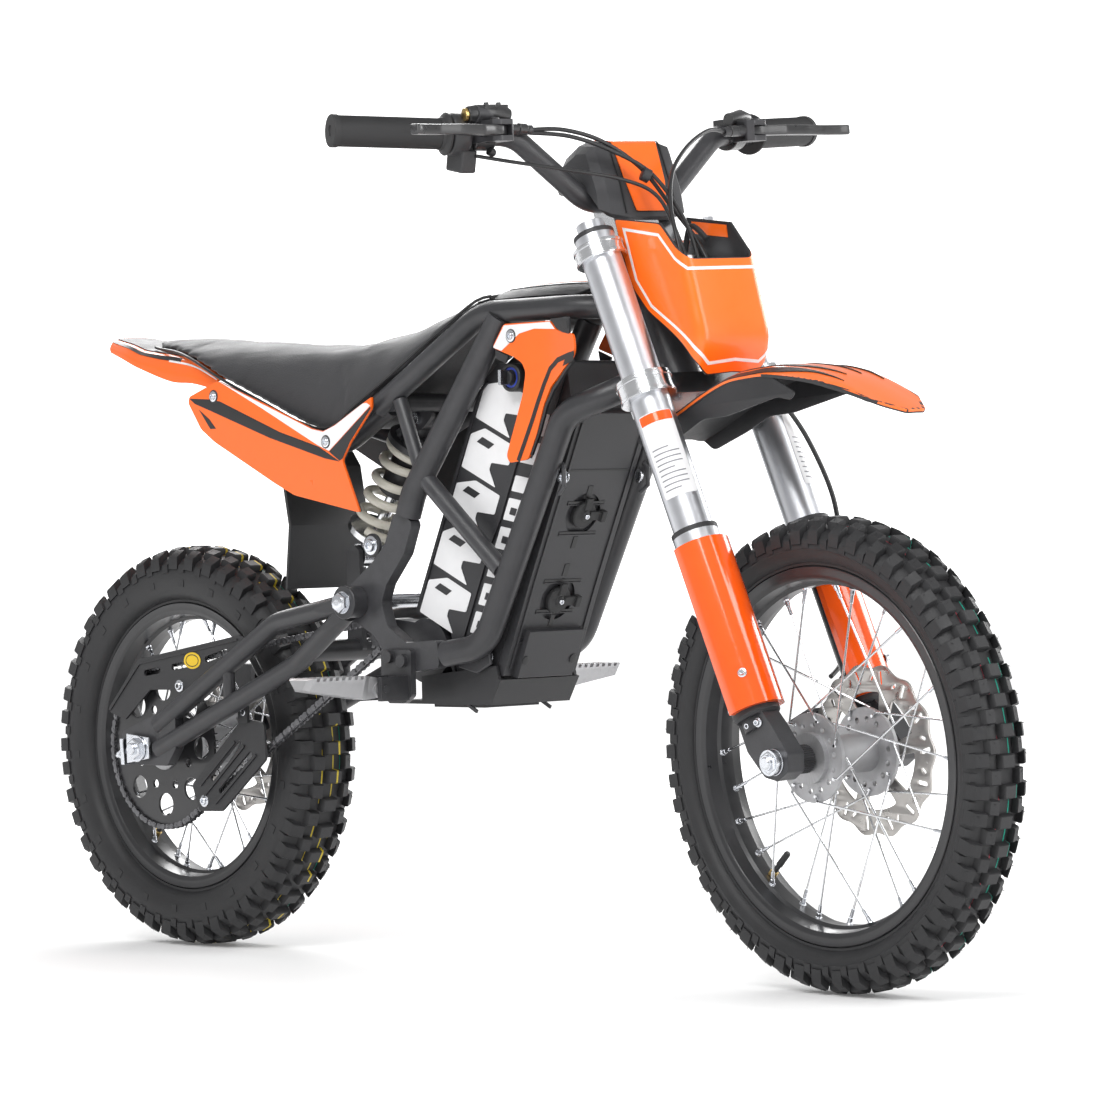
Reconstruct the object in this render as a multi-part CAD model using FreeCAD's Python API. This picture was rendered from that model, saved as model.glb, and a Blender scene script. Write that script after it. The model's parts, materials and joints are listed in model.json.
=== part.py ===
import FreeCAD, Part
import math
import os

V = FreeCAD.Vector

# Youth electric dirt bike, millimetres. X forward, Y to the rider's left, Z up.
# The design frame has the rear axle at x = 0, the ground at z = 0 and the middle plane at y = 0.

WHEELBASE = 1000.0
FRONT_TYRE_R = 240.0
FRONT_TYRE_HALF_W = 35.0
FRONT_LIP_R = 190.4
FRONT_RIM_HALF_W = 24.0
REAR_TYRE_R = 231.0
REAR_TYRE_HALF_W = 42.0
REAR_LIP_R = 164.9
REAR_RIM_HALF_W = 27.0
SPOKES_PER_SIDE = 14
KNOB_ROWS = 34

RAKE = 23.78
STEER_REST = -5.0
STEER_X = 958.8
STEER_Z = 222.1
FORK_X = 986.3
FORK_Z = 234.1
FORK_OFFSET = 30.0
FORK_HALF = 76.4
STANCHION_R = 17.0
OUTER_R = 21.0
AXLE_LEAD = 14.9
LOWER_CLAMP = (404.0, 427.0)
UPPER_CLAMP = (561.0, 578.0)
STEM_R = 12.5

AXLE_R = 7.95
RUN = 0.05
HUB_BORE_R = AXLE_R + RUN

BAR_R = 11.0
BAR_MID = V(710, 0, 811)
BAR_KNEE = V(710, 52, 811)
BAR_BEND = V(700, 138, 881)
BAR_END = V(640, 322, 891)

PIVOT_X = 371.0
PIVOT_Z = 397.0
PIVOT_R = 8.0
CHAIN_Y = -58.0
CHAIN_PITCH = 8.0
REAR_TEETH = 72
MOTOR_TEETH = 12
MOTOR_SHAFT_X = 372.0
MOTOR_SHAFT_Z = 360.0

SHOCK_TOP = V(397, 0, 596)
SHOCK_LOW = V(290, 0, 447)
SHOCK_PIN_R = 5.0
EYE_SLACK = 1.2

PEG_X = 438.0
PEG_Z = 305.0
PEG_Y = 126.0

CASE_HALF = 53.0


def cyl(a, b, r):
    d = b.sub(a)
    return Part.makeCylinder(r, d.Length, a, d)


def ring(a, b, outer, inner):
    return cyl(a, b, outer).cut(cyl(a, b, inner))


def pin_y(x, z, y0, y1, r):
    return cyl(V(x, y0, z), V(x, y1, z), r)


def ring_y(x, z, y0, y1, outer, inner):
    return ring(V(x, y0, z), V(x, y1, z), outer, inner)


def block(x0, x1, y0, y1, z0, z1):
    return Part.makeBox(x1 - x0, y1 - y0, z1 - z0, V(x0, y0, z0))


def fused(shapes):
    first = shapes[0]
    return first.multiFuse(shapes[1:]).removeSplitter() if len(shapes) > 1 else first


def mirrored(shape):
    return shape.mirror(V(0, 0, 0), V(0, 1, 0))


def both(shape):
    return Part.makeCompound([shape, mirrored(shape)])


def corner(a, b, c, r):
    """Two tangent points and the middle of the arc that rounds corner b."""
    u = a.sub(b)
    w = c.sub(b)
    half = u.getAngle(w) / 2.0
    if half > math.radians(89.5) or r <= 0:
        return None
    run = min(r / math.tan(half), 0.48 * u.Length, 0.48 * w.Length)
    real = run * math.tan(half)
    un = V(u).normalize()
    wn = V(w).normalize()
    out = un.add(wn).normalize()
    centre = b.add(out.multiply(real / math.sin(half)))
    mid = centre.add(b.sub(centre).normalize().multiply(real))
    return b.add(un.multiply(run)), mid, b.add(wn.multiply(run))


def rounded(points, r, closed):
    """Wire through the points with each corner rounded to radius r."""
    n = len(points)
    marks = []
    for i, p in enumerate(points):
        end = not closed and i in (0, n - 1)
        arc = None if end else corner(points[i - 1], p, points[(i + 1) % n], r)
        marks.append((p, arc))
    edges = []
    for i in range(n if closed else n - 1):
        p, arc = marks[i]
        q, nxt = marks[(i + 1) % n]
        start = arc[2] if arc else p
        stop = nxt[0] if nxt else q
        if start.distanceToPoint(stop) > 1e-4:
            edges.append(Part.makeLine(start, stop))
        if nxt:
            edges.append(Part.Arc(nxt[0], nxt[1], nxt[2]).toShape())
    return Part.Wire(Part.__sortEdges__(edges))


def plate(points, y0, y1, r=0.0):
    """Outline of (x, z) points, thick from y0 to y1."""
    wire = rounded([V(x, y0, z) for x, z in points], r, True)
    return Part.Face(wire).extrude(V(0, y1 - y0, 0))


def slab(points, z0, z1, r=0.0):
    """Outline of (x, y) points, thick from z0 to z1."""
    wire = rounded([V(x, y, z0) for x, y in points], r, True)
    return Part.Face(wire).extrude(V(0, 0, z1 - z0))


def sheet(points, along, r=0.0):
    """Flat outline of 3-D points, pushed along a vector."""
    return Part.Face(rounded(points, r, True)).extrude(along)


def pipe(points, radius, bend, bore=0.0):
    """Round bar or tube on straight runs joined by tangent arcs."""
    path = rounded(points, bend, False)
    start = points[1].sub(points[0])
    loop = Part.Wire(Part.makeCircle(radius, points[0], start))
    solid = path.makePipeShell([loop], True, False)
    if bore > 0:
        hole = Part.Wire(Part.makeCircle(bore, points[0], start))
        solid = solid.cut(path.makePipeShell([hole], True, False))
    return solid


def turned(profile, x, z):
    """Profile of (y, radius) points turned about the Y line through (x, z)."""
    pts = [V(x, y, z + rad) for y, rad in profile]
    face = Part.Face(Part.makePolygon(pts + [pts[0]]))
    return face.revolve(V(x, 0, z), V(0, 1, 0), 360)


def symmetric(half):
    """Half profile from y = 0 outward, completed with its mirror image."""
    return half + [(-y, rad) for y, rad in reversed(half) if y != 0]


def stations(rows):
    """Ruled body through cross-sections (x, z_low, z_high, half_low, half_high)."""
    wires = []
    for x, low, high, wide, narrow in rows:
        side = low + 0.55 * (high - low)
        corners = [(-wide, low), (-wide, side), (-narrow, high), (narrow, high), (wide, side), (wide, low)]
        pts = [V(x, y, z) for y, z in corners]
        wires.append(Part.makePolygon(pts + [pts[0]]))
    return Part.makeLoft(wires, True, True)


STEER_AXIS = V(-math.sin(math.radians(RAKE)), 0, math.cos(math.radians(RAKE)))
STEER_FRONT = V(math.cos(math.radians(RAKE)), 0, math.sin(math.radians(RAKE)))


def fork(s, o=0.0, y=0.0):
    """Point s up the fork line, o in front of it, y to the left."""
    p = V(FORK_X, y, FORK_Z)
    return p.add(V(STEER_AXIS).multiply(s)).add(V(STEER_FRONT).multiply(o))


def fork_plate(points, y0, y1, r=0.0):
    flat = [fork(s, o) for s, o in points]
    return plate([(p.x, p.z) for p in flat], y0, y1, r)


def fork_block(s0, s1, o0, o1, y0, y1):
    return fork_plate([(s0, o0), (s1, o0), (s1, o1), (s0, o1)], y0, y1)


def leg(s0, s1, r, y=FORK_HALF):
    return cyl(fork(s0, 0, y), fork(s1, 0, y), r)


def frame_members():
    """Welded trellis: head tube, top tubes, down tubes, rear tubes, struts, rails and cross tube."""
    head = ring(fork(436, -FORK_OFFSET), fork(552, -FORK_OFFSET), 24, 18)
    low = ring(fork(436, -FORK_OFFSET), fork(450, -FORK_OFFSET), 18, STEM_R + RUN)
    high = ring(fork(538, -FORK_OFFSET), fork(552, -FORK_OFFSET), 18, STEM_R + RUN)
    head = fused([head, low, high])
    clear = cyl(fork(430, -FORK_OFFSET), fork(560, -FORK_OFFSET), 24)
    top = pipe([V(752, -14, 700), V(700, -62, 702), V(558, -66, 702), V(400, -74, 608)], 12.5, 80)
    down = pipe([V(776, -12, 634), V(728, -60, 606), V(684, -70, 591), V(554, -70, 349), V(501, -77, 341)],
                14, 45)
    rear = pipe([V(588, -67, 697), V(458, -79, 514), V(448, -79, 490)], 14, 60)
    brace = cyl(V(470, -78, 534), V(586, -73, 430), 10)
    strut = cyl(V(434, -74, 614), V(466, -76, 540), 8)
    rail = pipe([V(412, -66, 606), V(325, -56, 566), V(120, -48, 622)], 9, 60)
    cross = cyl(V(420, -74, 612), V(420, 74, 612), 10)
    down = down.cut(clear)
    top = top.cut(clear)
    rear = rear.cut(top)
    brace = brace.cut(rear).cut(down)
    strut = strut.cut(top).cut(rear)
    rail = rail.cut(top)
    side = [top, down, rear, brace, strut, rail]
    for member in (top, rail, strut):
        cross = cross.cut(member).cut(mirrored(member))
    tab = plate([(384, 590), (404, 582), (424, 598), (414, 620), (396, 612)], 13.5, 18.5, 4)
    tab = tab.cut(cross).cut(pin_y(SHOCK_TOP.x, SHOCK_TOP.z, 0, 30, SHOCK_PIN_R))
    return Part.makeCompound([head, cross, tab, mirrored(tab)] + side + [mirrored(s) for s in side])


def pivot_castings():
    """Cast C-shaped plates that carry the swingarm pivot between the rear and down tubes."""
    shape = [(433, 494), (462, 483), (447, 448), (418, 416), (409, 396), (418, 371), (448, 353), (496.5, 356),
             (499.5, 326), (450, 321), (424, 328), (397, 360), (362, 378), (351, 397), (360, 416), (396, 440),
             (416, 458)]
    body = plate(shape, 72, 86, 7)
    lug = pin_y(PIVOT_X, PIVOT_Z, 72, 86, 19)
    body = fused([body, lug]).cut(pin_y(PIVOT_X, PIVOT_Z, 60, 90, PIVOT_R))
    return both(body)


def pivot_bolts():
    """Swingarm pivot bolt and upper shock bolt with their heads."""
    pivot = pin_y(PIVOT_X, PIVOT_Z, -104, 104, PIVOT_R)
    heads = [pin_y(PIVOT_X, PIVOT_Z, 103.2, 109, 12), pin_y(PIVOT_X, PIVOT_Z, -109, -103.2, 12)]
    shock = pin_y(SHOCK_TOP.x, SHOCK_TOP.z, -18.5, 18.5, SHOCK_PIN_R)
    caps = [pin_y(SHOCK_TOP.x, SHOCK_TOP.z, 18.5, 23, 8), pin_y(SHOCK_TOP.x, SHOCK_TOP.z, -23, -18.5, 8)]
    return Part.makeCompound([fused([pivot] + heads), fused([shock] + caps)])


def battery_case():
    """Battery housing between the down tubes, with raised side ribs."""
    outline = [(678.5, 597), (595, 419), (552, 322), (492, 318), (480, 380), (426, 383), (484, 506),
               (546, 632), (566, 648), (670, 648)]
    body = plate(outline, -CASE_HALF, CASE_HALF, 5)
    lock_seat = pin_y(601, 632, -CASE_HALF, -CASE_HALF + 6, 12)
    return body.cut(lock_seat)


LATCHES = (V(636.1, -5, 488.9), V(594.4, -5, 399.1))
COVER_OUT = V(0.903, 0, -0.43)


def battery_cover():
    """Front cover of the battery with a recess for each latch."""
    outline = [(690, 592), (606, 413), (563, 316), (552.4, 321.6), (595.4, 418.8), (679, 597)]
    body = plate(outline, -CASE_HALF, CASE_HALF, 1.5)
    step = plate([(584, 367), (593, 363), (572, 314), (562.5, 316)], -40, 40, 1.5)
    body = fused([body, step])
    for mark in LATCHES:
        seat = mark.add(V(COVER_OUT).multiply(-2.0))
        body = body.cut(cyl(seat, seat.add(V(COVER_OUT).multiply(30)), 6 + RUN))
        face = mark.add(V(COVER_OUT).multiply(2.0))
        body = body.cut(cyl(face, face.add(V(COVER_OUT).multiply(30)), 24))
    return body


def latch(mark):
    """Turn latch: a stub in the cover and a bar with a grip rib across it."""
    out = V(COVER_OUT)
    seat = mark.add(V(out).multiply(-1.8))
    stub = cyl(seat, mark.add(V(out).multiply(3)), 6)
    face = mark.add(V(out).multiply(2.3))
    bar = Part.makeBox(40, 12, 5)
    bar.translate(V(-20, -6, 0))
    rib = Part.makeBox(10, 10, 9)
    rib.translate(V(-5, -5, 0))
    both_bars = fused([bar, rib])
    both_bars.rotate(V(0, 0, 0), V(0, 0, 1), 90)
    turn = FreeCAD.Rotation(V(0, 0, 1), out)
    both_bars.Placement = FreeCAD.Placement(face, turn).multiply(both_bars.Placement)
    return fused([stub, both_bars])


def drive_motor():
    """Motor drum and reduction case, with a bore for the output shaft."""
    drum = pin_y(437, 343, -48, 48, 35)
    cap = pin_y(437, 343, 48, 54, 26)
    box = plate([(357, 347), (372, 340), (430, 310), (440, 372), (378, 378), (360, 374)], -48, -20, 8)
    body = fused([drum, cap, box])
    return body.cut(pin_y(MOTOR_SHAFT_X, MOTOR_SHAFT_Z, -60, -22, 6 + RUN))


def skid_plate():
    """Bent guard under the motor and battery, hung from the castings and down tubes."""
    floor = plate([(404, 290), (404, 286), (549, 286), (565, 313), (561, 314), (546, 290)], -58, 58)
    pad = block(440, 520, -40, 40, 282, 286)
    wall = plate([(440, 290), (546, 290), (561, 314), (558, 328), (500, 322), (440, 316)], 54, 58)
    return fused([floor, pad, wall, mirrored(wall)])


def seat():
    """Long padded seat that narrows and climbs onto the tank cover."""
    rows = [(-27, 691, 702, 38, 28), (40, 683, 696, 62, 48), (84, 673, 691, 76, 56), (141, 649, 685, 84, 60),
            (213, 621, 679, 86, 60), (290, 591, 676, 86, 58), (325, 587, 678, 86, 56),
            (360, 603, 683, 85, 55), (413, 633, 689, 82, 54), (470, 667, 703, 78, 52),
            (511, 691, 713, 74, 52), (552, 716, 724, 68, 50), (572, 718, 727, 64, 50)]
    return stations(rows)


def tank_cover():
    """Hard cap between the shrouds, in front of the seat."""
    rows = [(574, 716, 727, 62, 50), (640, 716, 731, 58, 44), (692, 716, 728, 46, 34)]
    return stations(rows)


def right_shroud():
    """Side shroud with a forward wing that flares past the fork."""
    body = plate([(586, 664), (602, 687), (676, 687), (676, 620), (663, 601), (649, 565), (636, 545),
                  (606, 542), (603, 549), (620, 587), (632, 616), (634, 641), (622, 652), (596, 660)],
                 -79, -76, 4)
    wing = [V(674, -79, 687), V(686, -83, 676), V(724, -95, 671), V(727, -96, 657), (V(722, -94.4, 648)),
            V(700, -87.4, 636), V(674, -79, 619)]
    flat = [V(p.x, -79 - 0.32 * (p.x - 674), p.z) for p in wing]
    return fused([body, sheet(flat, V(0, 3, 0))])


def rear_fender():
    """Tail fender as a thin shell with side walls."""
    top = [(-107, 690, 706, 44, 36), (-58, 677, 697, 58, 48), (-30, 668, 689.5, 63, 52),
           (40, 649, 681, 70, 60), (84, 645, 671, 74, 66), (128, 636, 652, 76, 72)]
    under = [(x, low - 4, high - 4, wide - 3, narrow - 2) for x, low, high, wide, narrow in top]
    under[0] = (-104, 686, 702, 41, 33)
    under[-1] = (132, 632, 648, 73, 69)
    return stations(top).cut(stations(under))


def side_panels():
    """Side covers under the seat, one each side."""
    shape = [(160, 644), (112, 629), (110, 624), (149, 580), (250, 533), (283, 516), (394, 495), (370, 552),
             (430, 616), (404, 618), (355, 592), (321, 580), (280, 588), (213, 616)]
    skin = plate(shape, 97, 100, 3)
    stays = [pin_y(x, z, 88, 97, 5) for x, z in ((344, 573), (152, 627))]
    return both(fused([skin] + stays))


def inner_fender():
    """Mud sheet between the rear wheel and the shock."""
    return plate([(188, 580), (214, 546), (226, 482), (218, 411), (221, 411), (230, 482), (218, 548),
                  (191, 583)], -58, 58)


def ignition_lock():
    """Lock barrel on the side of the battery case."""
    barrel = pin_y(601, 632, -66, -CASE_HALF, 15)
    nose = pin_y(601, 632, -CASE_HALF, -CASE_HALF + 5, 12)
    body = fused([barrel, nose])
    return body.cut(pin_y(601, 632, -67, -56, 3 + RUN))


def ignition_key():
    blade = pin_y(601, 632, -72, -57, 3)
    bow = plate([(594, 624), (608, 624), (608, 640), (594, 640)], -84, -71, 4)
    bow = bow.common(block(590, 612, -90, -60, 620, 645))
    thin = plate([(599, 620), (603, 620), (603, 645), (599, 645)], -84, -71)
    return fused([blade, bow.common(thin)])


def footpeg_hangers():
    """Bracket and clevis for each folding peg, with its pin."""
    base = plate([(414, 346), (462, 346), (462, 296), (450, 288), (426, 288), (414, 300)], 86, 93, 5)
    ears = [block(PEG_X - 20, PEG_X - 13.5, 92, 132, 292, 318), block(PEG_X + 13.5, PEG_X + 20, 92, 132, 292, 318)]
    pin = cyl(V(PEG_X - 22, PEG_Y, PEG_Z), V(PEG_X + 22, PEG_Y, PEG_Z), 4)
    heads = [pin_y(428, 338, 93, 98, 7), pin_y(450, 334, 93, 98, 7)]
    return both(fused([base] + ears + [pin] + heads))


def right_footpeg():
    """Toothed cast peg on its pin."""
    hub = cyl(V(PEG_X - 13, -PEG_Y, PEG_Z), V(PEG_X + 13, -PEG_Y, PEG_Z), 9)
    rows = [(-122, 296, 316, 12.5, 12.5), (-142, 294, 319, 12.5, 12.5), (-152, 295, 320, 18, 16),
            (-226, 306, 320, 20, 18), (-232, 308, 318, 14, 12)]
    wires = []
    for y, low, high, wide, narrow in rows:
        pts = [V(PEG_X - wide, y, high), V(PEG_X - narrow + 6, y, low), V(PEG_X + narrow - 6, y, low),
               V(PEG_X + wide, y, high)]
        wires.append(Part.makePolygon(pts + [pts[0]]))
    body = Part.makeLoft(wires, True, True)
    window = block(PEG_X - 8, PEG_X + 8, -216, -150, 280, 330)
    notches = [block(PEG_X - 22, PEG_X + 22, y, y + 4.5, 316.5, 330) for y in range(-222, -146, 9)]
    body = fused([hub, body.cut(window).cut(Part.makeCompound(notches))])
    clear = cyl(V(PEG_X - 14, -PEG_Y, PEG_Z), V(PEG_X + 14, -PEG_Y, PEG_Z), 4 + RUN)
    behind = block(PEG_X - 30, PEG_X + 30, -PEG_Y + 10, -PEG_Y + 30, 280, 330)
    return body.cut(clear).cut(behind)


def steering_stem():
    """Lower clamp, pressed stem and bearing seal."""
    s0, s1 = LOWER_CLAMP
    web = fork_block(s0, s1, -48, 14, -62, 62)
    rings = [leg(s0, s1, 29), leg(s0, s1, 29, -FORK_HALF)]
    body = fused([web] + rings).cut(leg(s0 - 1, s1 + 1, OUTER_R)).cut(leg(s0 - 1, s1 + 1, OUTER_R, -FORK_HALF))
    stem = cyl(fork(s0, -FORK_OFFSET), fork(586, -FORK_OFFSET), STEM_R)
    seal = cyl(fork(s1, -FORK_OFFSET), fork(435.7, -FORK_OFFSET), 22)
    return fused([body, stem, seal])


def upper_clamp():
    """Upper clamp with stem nut and two bar risers."""
    s0, s1 = UPPER_CLAMP
    web = fused([fork_block(s0, s1, -46, 12, -44, 44), fork_block(s0, s1, -40, -2, -62, 62)])
    rings = [leg(s0, s1, 26), leg(s0, s1, 26, -FORK_HALF)]
    nut = cyl(fork(s1, -FORK_OFFSET), fork(590, -FORK_OFFSET), 17)
    riser = fork_plate([(s1, -38), (s1, 0), (622, -3), (650, -6), (650, -31), (622, -34)], 20, 36, 2)
    body = fused([web, nut, riser, mirrored(riser)] + rings)
    body = body.cut(leg(s0 - 1, s1 + 1, OUTER_R)).cut(leg(s0 - 1, s1 + 1, OUTER_R, -FORK_HALF))
    body = body.cut(cyl(fork(s0 - 1, -FORK_OFFSET), fork(586, -FORK_OFFSET), STEM_R))
    return body.cut(pin_y(BAR_MID.x, BAR_MID.z, -40, 40, BAR_R))


def fork_outer_tubes():
    """Fixed upper fork tubes with caps, bored for the sliding legs."""
    tube = leg(228, 592, OUTER_R)
    lip = leg(228, 256, 24)
    cap = leg(592, 604, 15)
    body = fused([tube, lip, cap])
    return both(body.cut(leg(227, 578, STANCHION_R + RUN)))


def fork_legs():
    """Sliding legs with the feet that hold the axle."""
    slider = leg(40, 470, STANCHION_R)
    collar = leg(56, 78, 24)
    foot = fork_plate([(80, -18), (80, 18), (56, 19), (34, 27), (0, 36), (-16, 28), (-19, 10), (-8, -6), (24, -18)],
                      66, 88, 5)
    axle = pin_y(WHEELBASE, FRONT_TYRE_R, 60, 100, AXLE_R)
    return both(fused([slider, collar, foot]).cut(axle))


def fork_guards():
    """Curved guards in front of the sliding legs."""
    shell = leg(60, 240, 30.5).cut(leg(68, 241, 27.5)).cut(leg(59, 69, 24))
    keep = fork_block(50, 250, -6, 40, 50.5, 120)
    return both(shell.common(keep))


def front_axle():
    """Axle with spacers and nuts."""
    x, z = WHEELBASE, FRONT_TYRE_R
    bar = pin_y(x, z, -101, 101, AXLE_R)
    nuts = [pin_y(x, z, 88, 97, 13), pin_y(x, z, -97, -88, 13)]
    spacers = [pin_y(x, z, 50.5, 66, 12), pin_y(x, z, -66, -45.5, 12)]
    return fused([bar] + nuts + spacers)


def front_caliper():
    """Caliper over the front disc with its mounting arm."""
    body = fork_block(22, 72, -84, -46, 37, 66)
    arm = fork_block(14, 38, -52, -6, 58, 66)
    body = fused([body, arm])
    return body.cut(pin_y(WHEELBASE, FRONT_TYRE_R, 44.9, 49.1, 92))


def tyre(x, radius, half_w, lip_r, rim_half):
    """Tyre with its inner tube down to the rim bed, with grooves round it and slots that leave knobs."""
    z = radius
    bead = rim_half - 2.3
    half = [(0, radius), (0.20 * half_w, radius - 0.4), (0.22 * half_w, radius - 7), (0.36 * half_w, radius - 7.5),
            (0.38 * half_w, radius - 2), (0.68 * half_w, radius - 6), (0.70 * half_w, radius - 13),
            (0.80 * half_w, radius - 14), (0.82 * half_w, radius - 9), (0.98 * half_w, radius - 16),
            (half_w, radius - 24), (0.95 * half_w, radius - 27), (0.97 * half_w, lip_r + 18),
            (0.90 * half_w, lip_r + 8), (bead + 3.6, lip_r + 0.8), (bead, lip_r + 0.6), (bead, lip_r - 9.8),
            (rim_half - 8, lip_r - 9.8), (6.6, lip_r - 11.4), (4.4, lip_r - 15.4), (0, lip_r - 15.4)]
    body = turned(symmetric(half), x, z)
    slots = []
    for i in range(KNOB_ROWS):
        middle = Part.makeBox(7, 0.76 * half_w, 7, V(x - 3.5, -0.38 * half_w, z + radius - 6))
        middle.rotate(V(x, 0, z), V(0, 1, 0), 360.0 * i / KNOB_ROWS)
        slots.append(middle)
        for y in (0.36 * half_w, -1.1 * half_w):
            side = Part.makeBox(8, 0.74 * half_w, 24, V(x - 4, y, z + radius - 21))
            side.rotate(V(x, 0, z), V(0, 1, 0), 360.0 * (i + 0.5) / KNOB_ROWS)
            slots.append(side)
    return body.cut(Part.makeCompound(slots))


def rim(x, radius, lip_r, rim_half):
    """Drop-centre rim."""
    half = [(0, lip_r - 20), (6, lip_r - 20), (9, lip_r - 15), (rim_half - 6, lip_r - 13.4),
            (rim_half + 1.5, lip_r - 12), (rim_half + 1.5, lip_r), (rim_half - 2, lip_r),
            (rim_half - 2, lip_r - 10.4), (rim_half - 8, lip_r - 10.4), (7, lip_r - 12), (5, lip_r - 16),
            (0, lip_r - 16)]
    return turned(symmetric(half), x, radius)


def spokes(x, radius, lip_r, flange_y):
    """Laced spokes: at each flange hole one inside and one outside the flange."""
    bars = []
    for side in (-1, 1):
        for i in range(SPOKES_PER_SIDE):
            lead = 1 if i % 2 else -1
            hub_a = 2 * math.pi * (i + (0.5 if side > 0 else 0)) / SPOKES_PER_SIDE
            rim_a = hub_a + lead * math.radians(52)
            y_hub = side * (flange_y + (5.8 if lead > 0 else -3.8))
            y_rim = side * (4.5 + lead * 1.2)
            a = V(x + 44.5 * math.cos(hub_a), y_hub, radius + 44.5 * math.sin(hub_a))
            r = lip_r - 20.6
            b = V(x + r * math.cos(rim_a), y_rim, radius + r * math.sin(rim_a))
            bars.append(cyl(a, b, 1.5))
    return Part.makeCompound(bars)


def hub(x, radius, right, left, barrel, carrier_right, carrier_left):
    """Hub with two drilled flanges and a bore for the axle."""
    z = radius
    parts = [pin_y(x, z, right, left, barrel), pin_y(x, z, right - 2, right + 2, 45),
             pin_y(x, z, left - 2, left + 2, 45), pin_y(x, z, left, carrier_left, 26),
             pin_y(x, z, carrier_right, right, 26)]
    body = fused(parts).cut(pin_y(x, z, carrier_right - 1, carrier_left + 1, HUB_BORE_R))
    holes = []
    for i in range(SPOKES_PER_SIDE):
        a = 2 * math.pi * (i + 0.25) / SPOKES_PER_SIDE
        holes.append(pin_y(x + 33 * math.cos(a), z + 33 * math.sin(a), right - 5, right + 5, 3))
        holes.append(pin_y(x + 33 * math.cos(a), z + 33 * math.sin(a), left - 5, left + 5, 3))
    return body.cut(Part.makeCompound(holes))


def disc(x, radius, y0, y1, outer, inner, bore):
    """Brake disc with six arms and drilled band."""
    z = radius
    band = ring_y(x, z, y0, y1, outer, inner)
    boss = ring_y(x, z, y0, y1, bore + 12, bore)
    arms = []
    holes = []
    for i in range(6):
        arm = block(x + bore + 8, x + inner + 4, y0, y1, z - 5, z + 5)
        arm.rotate(V(x, 0, z), V(0, 1, 0), 60 * i)
        arms.append(arm)
    for i in range(24):
        a = math.radians(15 * i)
        r = inner + (8 if i % 2 else 14)
        holes.append(pin_y(x + r * math.cos(a), z + r * math.sin(a), y0 - 1, y1 + 1, 3))
    return fused([band, boss] + arms).cut(Part.makeCompound(holes))


def sprocket(x, z, teeth, phase, y0, y1, bore):
    """Chain wheel with narrow teeth that stand between the rollers."""
    pitch_r = CHAIN_PITCH / (2 * math.sin(math.pi / teeth))
    root = pitch_r - 2.8
    tip = pitch_r + 1.6
    pts = []
    for i in range(teeth):
        a = phase + 2 * math.pi * (i + 0.5) / teeth
        wide = 1.25 / root
        slim = 0.6 / tip
        for r, off in ((root, -wide), (tip, -slim), (tip, slim), (root, wide)):
            pts.append(V(x + r * math.cos(a + off), y0, z + r * math.sin(a + off)))
    wheel = Part.Face(Part.makePolygon(pts + [pts[0]])).extrude(V(0, y1 - y0, 0))
    return wheel.cut(pin_y(x, z, y0 - 1, y1 + 1, bore))


def rear_sprocket():
    """Driven sprocket, drilled, on the right end of the hub."""
    body = sprocket(0, REAR_TYRE_R, REAR_TEETH, chain_angle(), CHAIN_Y - 1.5, CHAIN_Y + 1.5, 26)
    holes = []
    for i in range(8):
        a = math.radians(45 * i)
        holes.append(pin_y(66 * math.cos(a), REAR_TYRE_R + 66 * math.sin(a), -70, -50, 13))
        b = a + math.radians(22.5)
        holes.append(pin_y(46 * math.cos(b), REAR_TYRE_R + 46 * math.sin(b), -70, -50, 5))
    return body.cut(Part.makeCompound(holes))


def motor_sprocket():
    """Drive sprocket and its shaft."""
    wheel = sprocket(MOTOR_SHAFT_X, MOTOR_SHAFT_Z, MOTOR_TEETH, chain_angle(), CHAIN_Y - 1.5, CHAIN_Y + 1.5, 5)
    shaft = pin_y(MOTOR_SHAFT_X, MOTOR_SHAFT_Z, -64, -24, 6)
    return fused([wheel, shaft])


def chain_geometry():
    """Centres, pitch radii and the angle of the outer tangent normal above the centre line."""
    r_rear = CHAIN_PITCH / (2 * math.sin(math.pi / REAR_TEETH))
    r_motor = CHAIN_PITCH / (2 * math.sin(math.pi / MOTOR_TEETH))
    dx = MOTOR_SHAFT_X
    dz = MOTOR_SHAFT_Z - REAR_TYRE_R
    line = math.atan2(dz, dx)
    lean = math.acos((r_rear - r_motor) / math.hypot(dx, dz))
    return r_rear, r_motor, line + lean, line - lean


def chain_angle():
    return chain_geometry()[2]


def chain_loop(offset):
    """Closed outline of the chain at a distance from its pitch line."""
    r_rear, r_motor, up, down = chain_geometry()
    rear = V(0, 0, REAR_TYRE_R)
    front = V(MOTOR_SHAFT_X, 0, MOTOR_SHAFT_Z)

    def at(centre, r, a):
        return centre.add(V((r + offset) * math.cos(a), 0, (r + offset) * math.sin(a)))

    far = (up + down) / 2 + math.pi
    near = (up + down) / 2
    edges = [Part.makeLine(at(rear, r_rear, up), at(front, r_motor, up)),
             Part.Arc(at(front, r_motor, up), at(front, r_motor, near), at(front, r_motor, down)).toShape(),
             Part.makeLine(at(front, r_motor, down), at(rear, r_rear, down)),
             Part.Arc(at(rear, r_rear, down), at(rear, r_rear, far), at(rear, r_rear, up)).toShape()]
    return Part.Face(Part.Wire(edges))


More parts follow.
